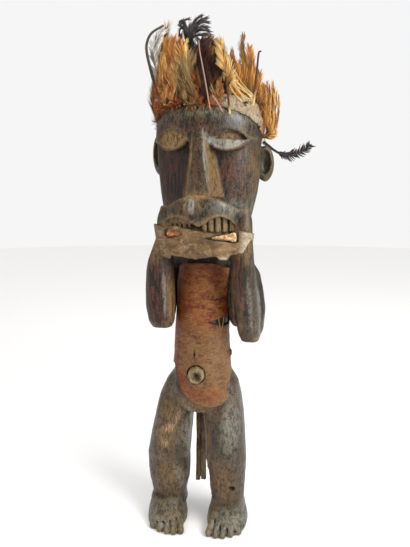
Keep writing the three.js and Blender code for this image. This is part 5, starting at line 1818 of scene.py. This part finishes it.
# The finish of each feather whose own name doesn't say gold, and isn't at the back, side or crown
OWNER_SLOTS = {
    "white_feather": "white", "maroon_hackle": "maroon", "dark_quill_feather": "maroon",
    "short_quill": "quill", "grey_quill": "quill", "cream_feather": "cream", "black_plume": "black",
    "brown_feather": "brown",
}
RING_PLUMES = (("brown", 0, 1.0), ("gold", -7, 0.86), ("rust", 7, 0.8), ("down", 2, 0.62), ("maroon", -3, 0.9))


def shown_feathers():
    """The feathers in the table above, each as its plumes' kinds, widths and points."""
    rows = {}
    for line in SHOWN_FEATHERS.split("\n")[1:-1]:
        first, *points = line.split(",")
        if points:
            kind, width = first.split()
            plumes.append((kind, float(width), *(tuple(map(float, point.split())) for point in points)))
        else:
            plumes = rows[line] = []
    return rows


def ring_feathers():
    """The feathers of the back and the crown, which repeat in two rings."""
    rows = {}
    for name, count, first, step, root_height, reach, tip_height in (
            ("back_feather", 8, 136, 20, 596, 76, 672), ("crown_feather", 4, 118, 42, 626, 34, 690)):
        for i in range(count):
            angle = first + i * step
            plumes = []
            for j, (kind, aside, share) in enumerate(RING_PLUMES):
                turn = math.radians(angle + aside)
                foot = cap_place(angle + aside, root_height + 4 - j, 3.0)
                height = foot[2] + (tip_height + 12 * math.sin(2.4 * i) - foot[2]) * share
                tip = (HEAD_X + reach * math.sin(turn), 2 - reach * math.cos(turn), height)
                middle = (foot + tip) / 2 + np.array([math.sin(turn), -math.cos(turn), 0]) * 4
                plumes.append((kind, 16, tuple(foot), tuple(middle), tip))
            rows[f"{name}_{i + 1}"] = plumes
    return rows


def rooted(points, bare):
    """A plume's points, led down into the cap below its foot."""
    points = [np.asarray(p, float) for p in points]
    x, y, z = points[0]
    if bare:
        return [points[0] + np.array([HEAD_X - x, 4 - y, 0]) * 0.06, *points]
    angle = math.degrees(math.atan2(x - HEAD_X, 4 - y))
    return [cap_place(angle, np.clip(z - 7, cap_edge(x, y) + 5, CROWN - 3), 1.5), *points]


class RELIQUARY_OT_feathers(bpy.types.Operator):
    """Sticks the feathers of the headdress into the cap, each with smaller ones at its foot"""
    bl_idname = "reliquary.feathers"
    bl_label = "Headdress feathers"

    def execute(self, context):
        settings = context.scene.reliquary_feathers
        finishes = {}
        for number, (name, plumes) in enumerate({**shown_feathers(), **ring_feathers()}.items()):
            rng = np.random.default_rng(200 + number)
            parts = []
            for kind, width, *points in plumes:
                parts += plume(rng, rooted(points, KINDS[kind].angle == 0), width, KINDS[kind], settings)
            points, faces, traits = bundle(parts)
            held = np.clip(points[:, 1], -FEATHER_DEPTH, FEATHER_DEPTH)
            points[:, 1] = held + 0.4 * (points[:, 1] - held)
            sort = OWNER_SLOTS.get(name, "gold" if "gold" in name or "side" in name else "brown")
            if sort not in finishes:
                finishes[sort] = feather_keratin(sort + " feather keratin")
            make_piece(name + "_look", points, faces, finishes[sort], [name], traits)
        return {"FINISHED"}


class RELIQUARY_OT_ear_plume(bpy.types.Operator):
    """Sticks the dark plume out behind the figure's left ear"""
    bl_idname = "reliquary.ear_plume"
    bl_label = "Ear plume"

    def execute(self, context):
        rng = np.random.default_rng(301)
        count = 40
        rows = np.arange(count)
        curve = [cap_place(111, 570), (97, 50, 560), (112, 62, 555), (130, 73, 560), (147, 81, 573)]
        path, _ = smooth_path(curve, count)
        stem, faces = tube(path, np.interp(rows, [0, 8, 39], [2.4, 2.0, 0.7]), QUILL_SIDES, 305, 0.4)
        dark, light = linear("#231a17"), linear("#4a4140")
        parts = [(stem, faces, np.tile(dark, (len(stem), 1)))]
        rise = np.linspace(0.36, 0.97, count)
        start = rows_at(rise * (count - 1), rows, path)
        way = unit(rows_at(rise * (count - 1), rows, np.gradient(path, axis=0)))
        face = np.array([0.25, -0.95, 0.1]) + 0 * way
        sideways = unit(np.cross(way, face))
        sign = np.where(rows % 2, 1, -1)[:, None]
        swell = np.interp(rise, [0.36, 0.5, 0.9, 1], [0.5, 1, 0.9, 0.6])
        reach = (rng.uniform(8, 13, count) * swell)[:, None]
        end = start + (0.75 * way + sign * sideways * 0.7 + rng.normal(0, 0.12, (count, 3))) * reach
        middle = start + (0.3 * way + sign * sideways * 0.5) * reach
        points, faces, along = strands(start, middle, end, rng.uniform(1.8, 3.0, count), face, 3)
        parts.append((points, faces, mixed(along * np.repeat(rng.random(count), 12), dark, light)))
        points, faces, traits = bundle(parts)
        make_piece("ear_plume_look", points, faces, feather_keratin("dark ear plume"),
                   ["ear_plume"], traits)
        return {"FINISHED"}


# In metres: the floor, the height that the lights aim at, and how far aside of the axis the camera aims
FLOOR_RADIUS = 6
LIT_HEIGHT = 0.38
ASIDE = 2.9 * MM


class RELIQUARY_OT_stage(bpy.types.Operator):
    """Sets the pale floor, the soft lights and the camera"""
    bl_idname = "reliquary.stage"
    bl_label = "Stage"

    def execute(self, context):
        stage = context.scene.reliquary_stage
        scene = context.scene
        mesh = bpy.data.meshes.new("floor")
        turns = np.arange(96) / 96 * 2 * math.pi
        ring = [(FLOOR_RADIUS * math.cos(turn), FLOOR_RADIUS * math.sin(turn), 0.0) for turn in turns]
        mesh.from_pydata(ring, [], [list(range(len(ring)))])
        floor = bpy.data.objects.new("floor", mesh)
        mesh.materials.append(studio_floor(stage.floor))
        scene.collection.objects.link(floor)
        self.light_room(scene, stage)
        for name, kind, power, size, place, colour in (
                ("window", "AREA", stage.key_power, 0.95, (1.35, -0.72, 1.2), (0.96, 0.985, 1.0)),
                ("soft fill", "AREA", stage.fill_power, 0.9, (-1.2, -0.7, 0.7), (1.0, 0.97, 0.92)),
                ("overhead", "SUN", stage.overhead, math.radians(80), (0.0, -0.3, 2.0), (1, 1, 1))):
            light = bpy.data.lights.new(name, kind)
            light.energy, light.color = power, colour
            setattr(light, "angle" if kind == "SUN" else "size", size)
            x, y, z = np.array([0, 0, LIT_HEIGHT]) - np.array(place)
            turn = (math.atan2(math.hypot(x, y), -z), 0, math.atan2(y, x) - math.pi / 2)
            self.set_up(scene, name, light, place, turn)
        camera = bpy.data.cameras.new("camera")
        camera.lens, camera.sensor_width, camera.clip_start = stage.lens, 36, 0.02
        s, c = math.sin(stage.azimuth), math.cos(stage.azimuth)
        place = (AXIS_X * MM + stage.distance * s + ASIDE * c, AXIS_Y * MM - stage.distance * c + ASIDE * s,
                 stage.height)
        scene.camera = self.set_up(scene, "camera", camera, place,
                                   (math.pi / 2 - stage.pitch, 0, stage.azimuth))
        scene.view_settings.view_transform = "Standard"
        return {"FINISHED"}

    def set_up(self, scene, name, data, place, turn):
        item = bpy.data.objects.new(name, data)
        item.location, item.rotation_euler = place, turn
        scene.collection.objects.link(item)
        return item

    def light_room(self, scene, stage):
        """A pale backdrop for the eye that lights the figure only weakly."""
        world = bpy.data.worlds.new("pale surroundings")
        world.use_nodes = True
        tree = world.node_tree
        seen = add_node(tree, "ShaderNodeLightPath").outputs["Is Camera Ray"]
        strength = steps(tree, seen, 0.0, 1.0, stage.ambient, stage.backdrop)
        tree.links.new(strength, tree.nodes["Background"].inputs["Strength"])
        tree.nodes["Background"].inputs["Color"].default_value = (1, 1, 1, 1)
        scene.world = world


STEPS = (
    RELIQUARY_OT_figure, RELIQUARY_OT_torso_hide, RELIQUARY_OT_mouth_band, RELIQUARY_OT_relic_bones,
    RELIQUARY_OT_tear_lacing, RELIQUARY_OT_hide_tail, RELIQUARY_OT_hair_cap, RELIQUARY_OT_feathers,
    RELIQUARY_OT_ear_plume, RELIQUARY_OT_stage,
)
SETTINGS = {
    "reliquary_wood": ReliquaryWood, "reliquary_hides": ReliquaryHides,
    "reliquary_feathers": ReliquaryFeathers, "reliquary_stage": ReliquaryStage,
}


class RELIQUARY_PT_pieces(bpy.types.Panel):
    """Lists the figure's pieces and their settings"""
    bl_idname = "RELIQUARY_PT_pieces"
    bl_label = "Reliquary figure"
    bl_space_type = "VIEW_3D"
    bl_region_type = "UI"
    bl_category = "Reliquary"

    def draw(self, context):
        for step in STEPS:
            self.layout.operator(step.bl_idname)
        for name, group in SETTINGS.items():
            box = self.layout.box()
            box.label(text=group.__doc__)
            for prop in group.__annotations__:
                box.prop(getattr(context.scene, name), prop)


def register():
    for group in SETTINGS.values():
        bpy.utils.register_class(group)
    for step in (*STEPS, RELIQUARY_PT_pieces):
        bpy.utils.register_class(step)
    for name, group in SETTINGS.items():
        setattr(bpy.types.Scene, name, bpy.props.PointerProperty(type=group))


def unregister():
    for name in SETTINGS:
        delattr(bpy.types.Scene, name)
    for step in (*STEPS, RELIQUARY_PT_pieces):
        bpy.utils.unregister_class(step)
    for group in SETTINGS.values():
        bpy.utils.unregister_class(group)


def main():
    register()
    for step in STEPS:
        group, name = step.bl_idname.split(".")
        getattr(getattr(bpy.ops, group), name)()


if __name__ == "__main__":
    main()
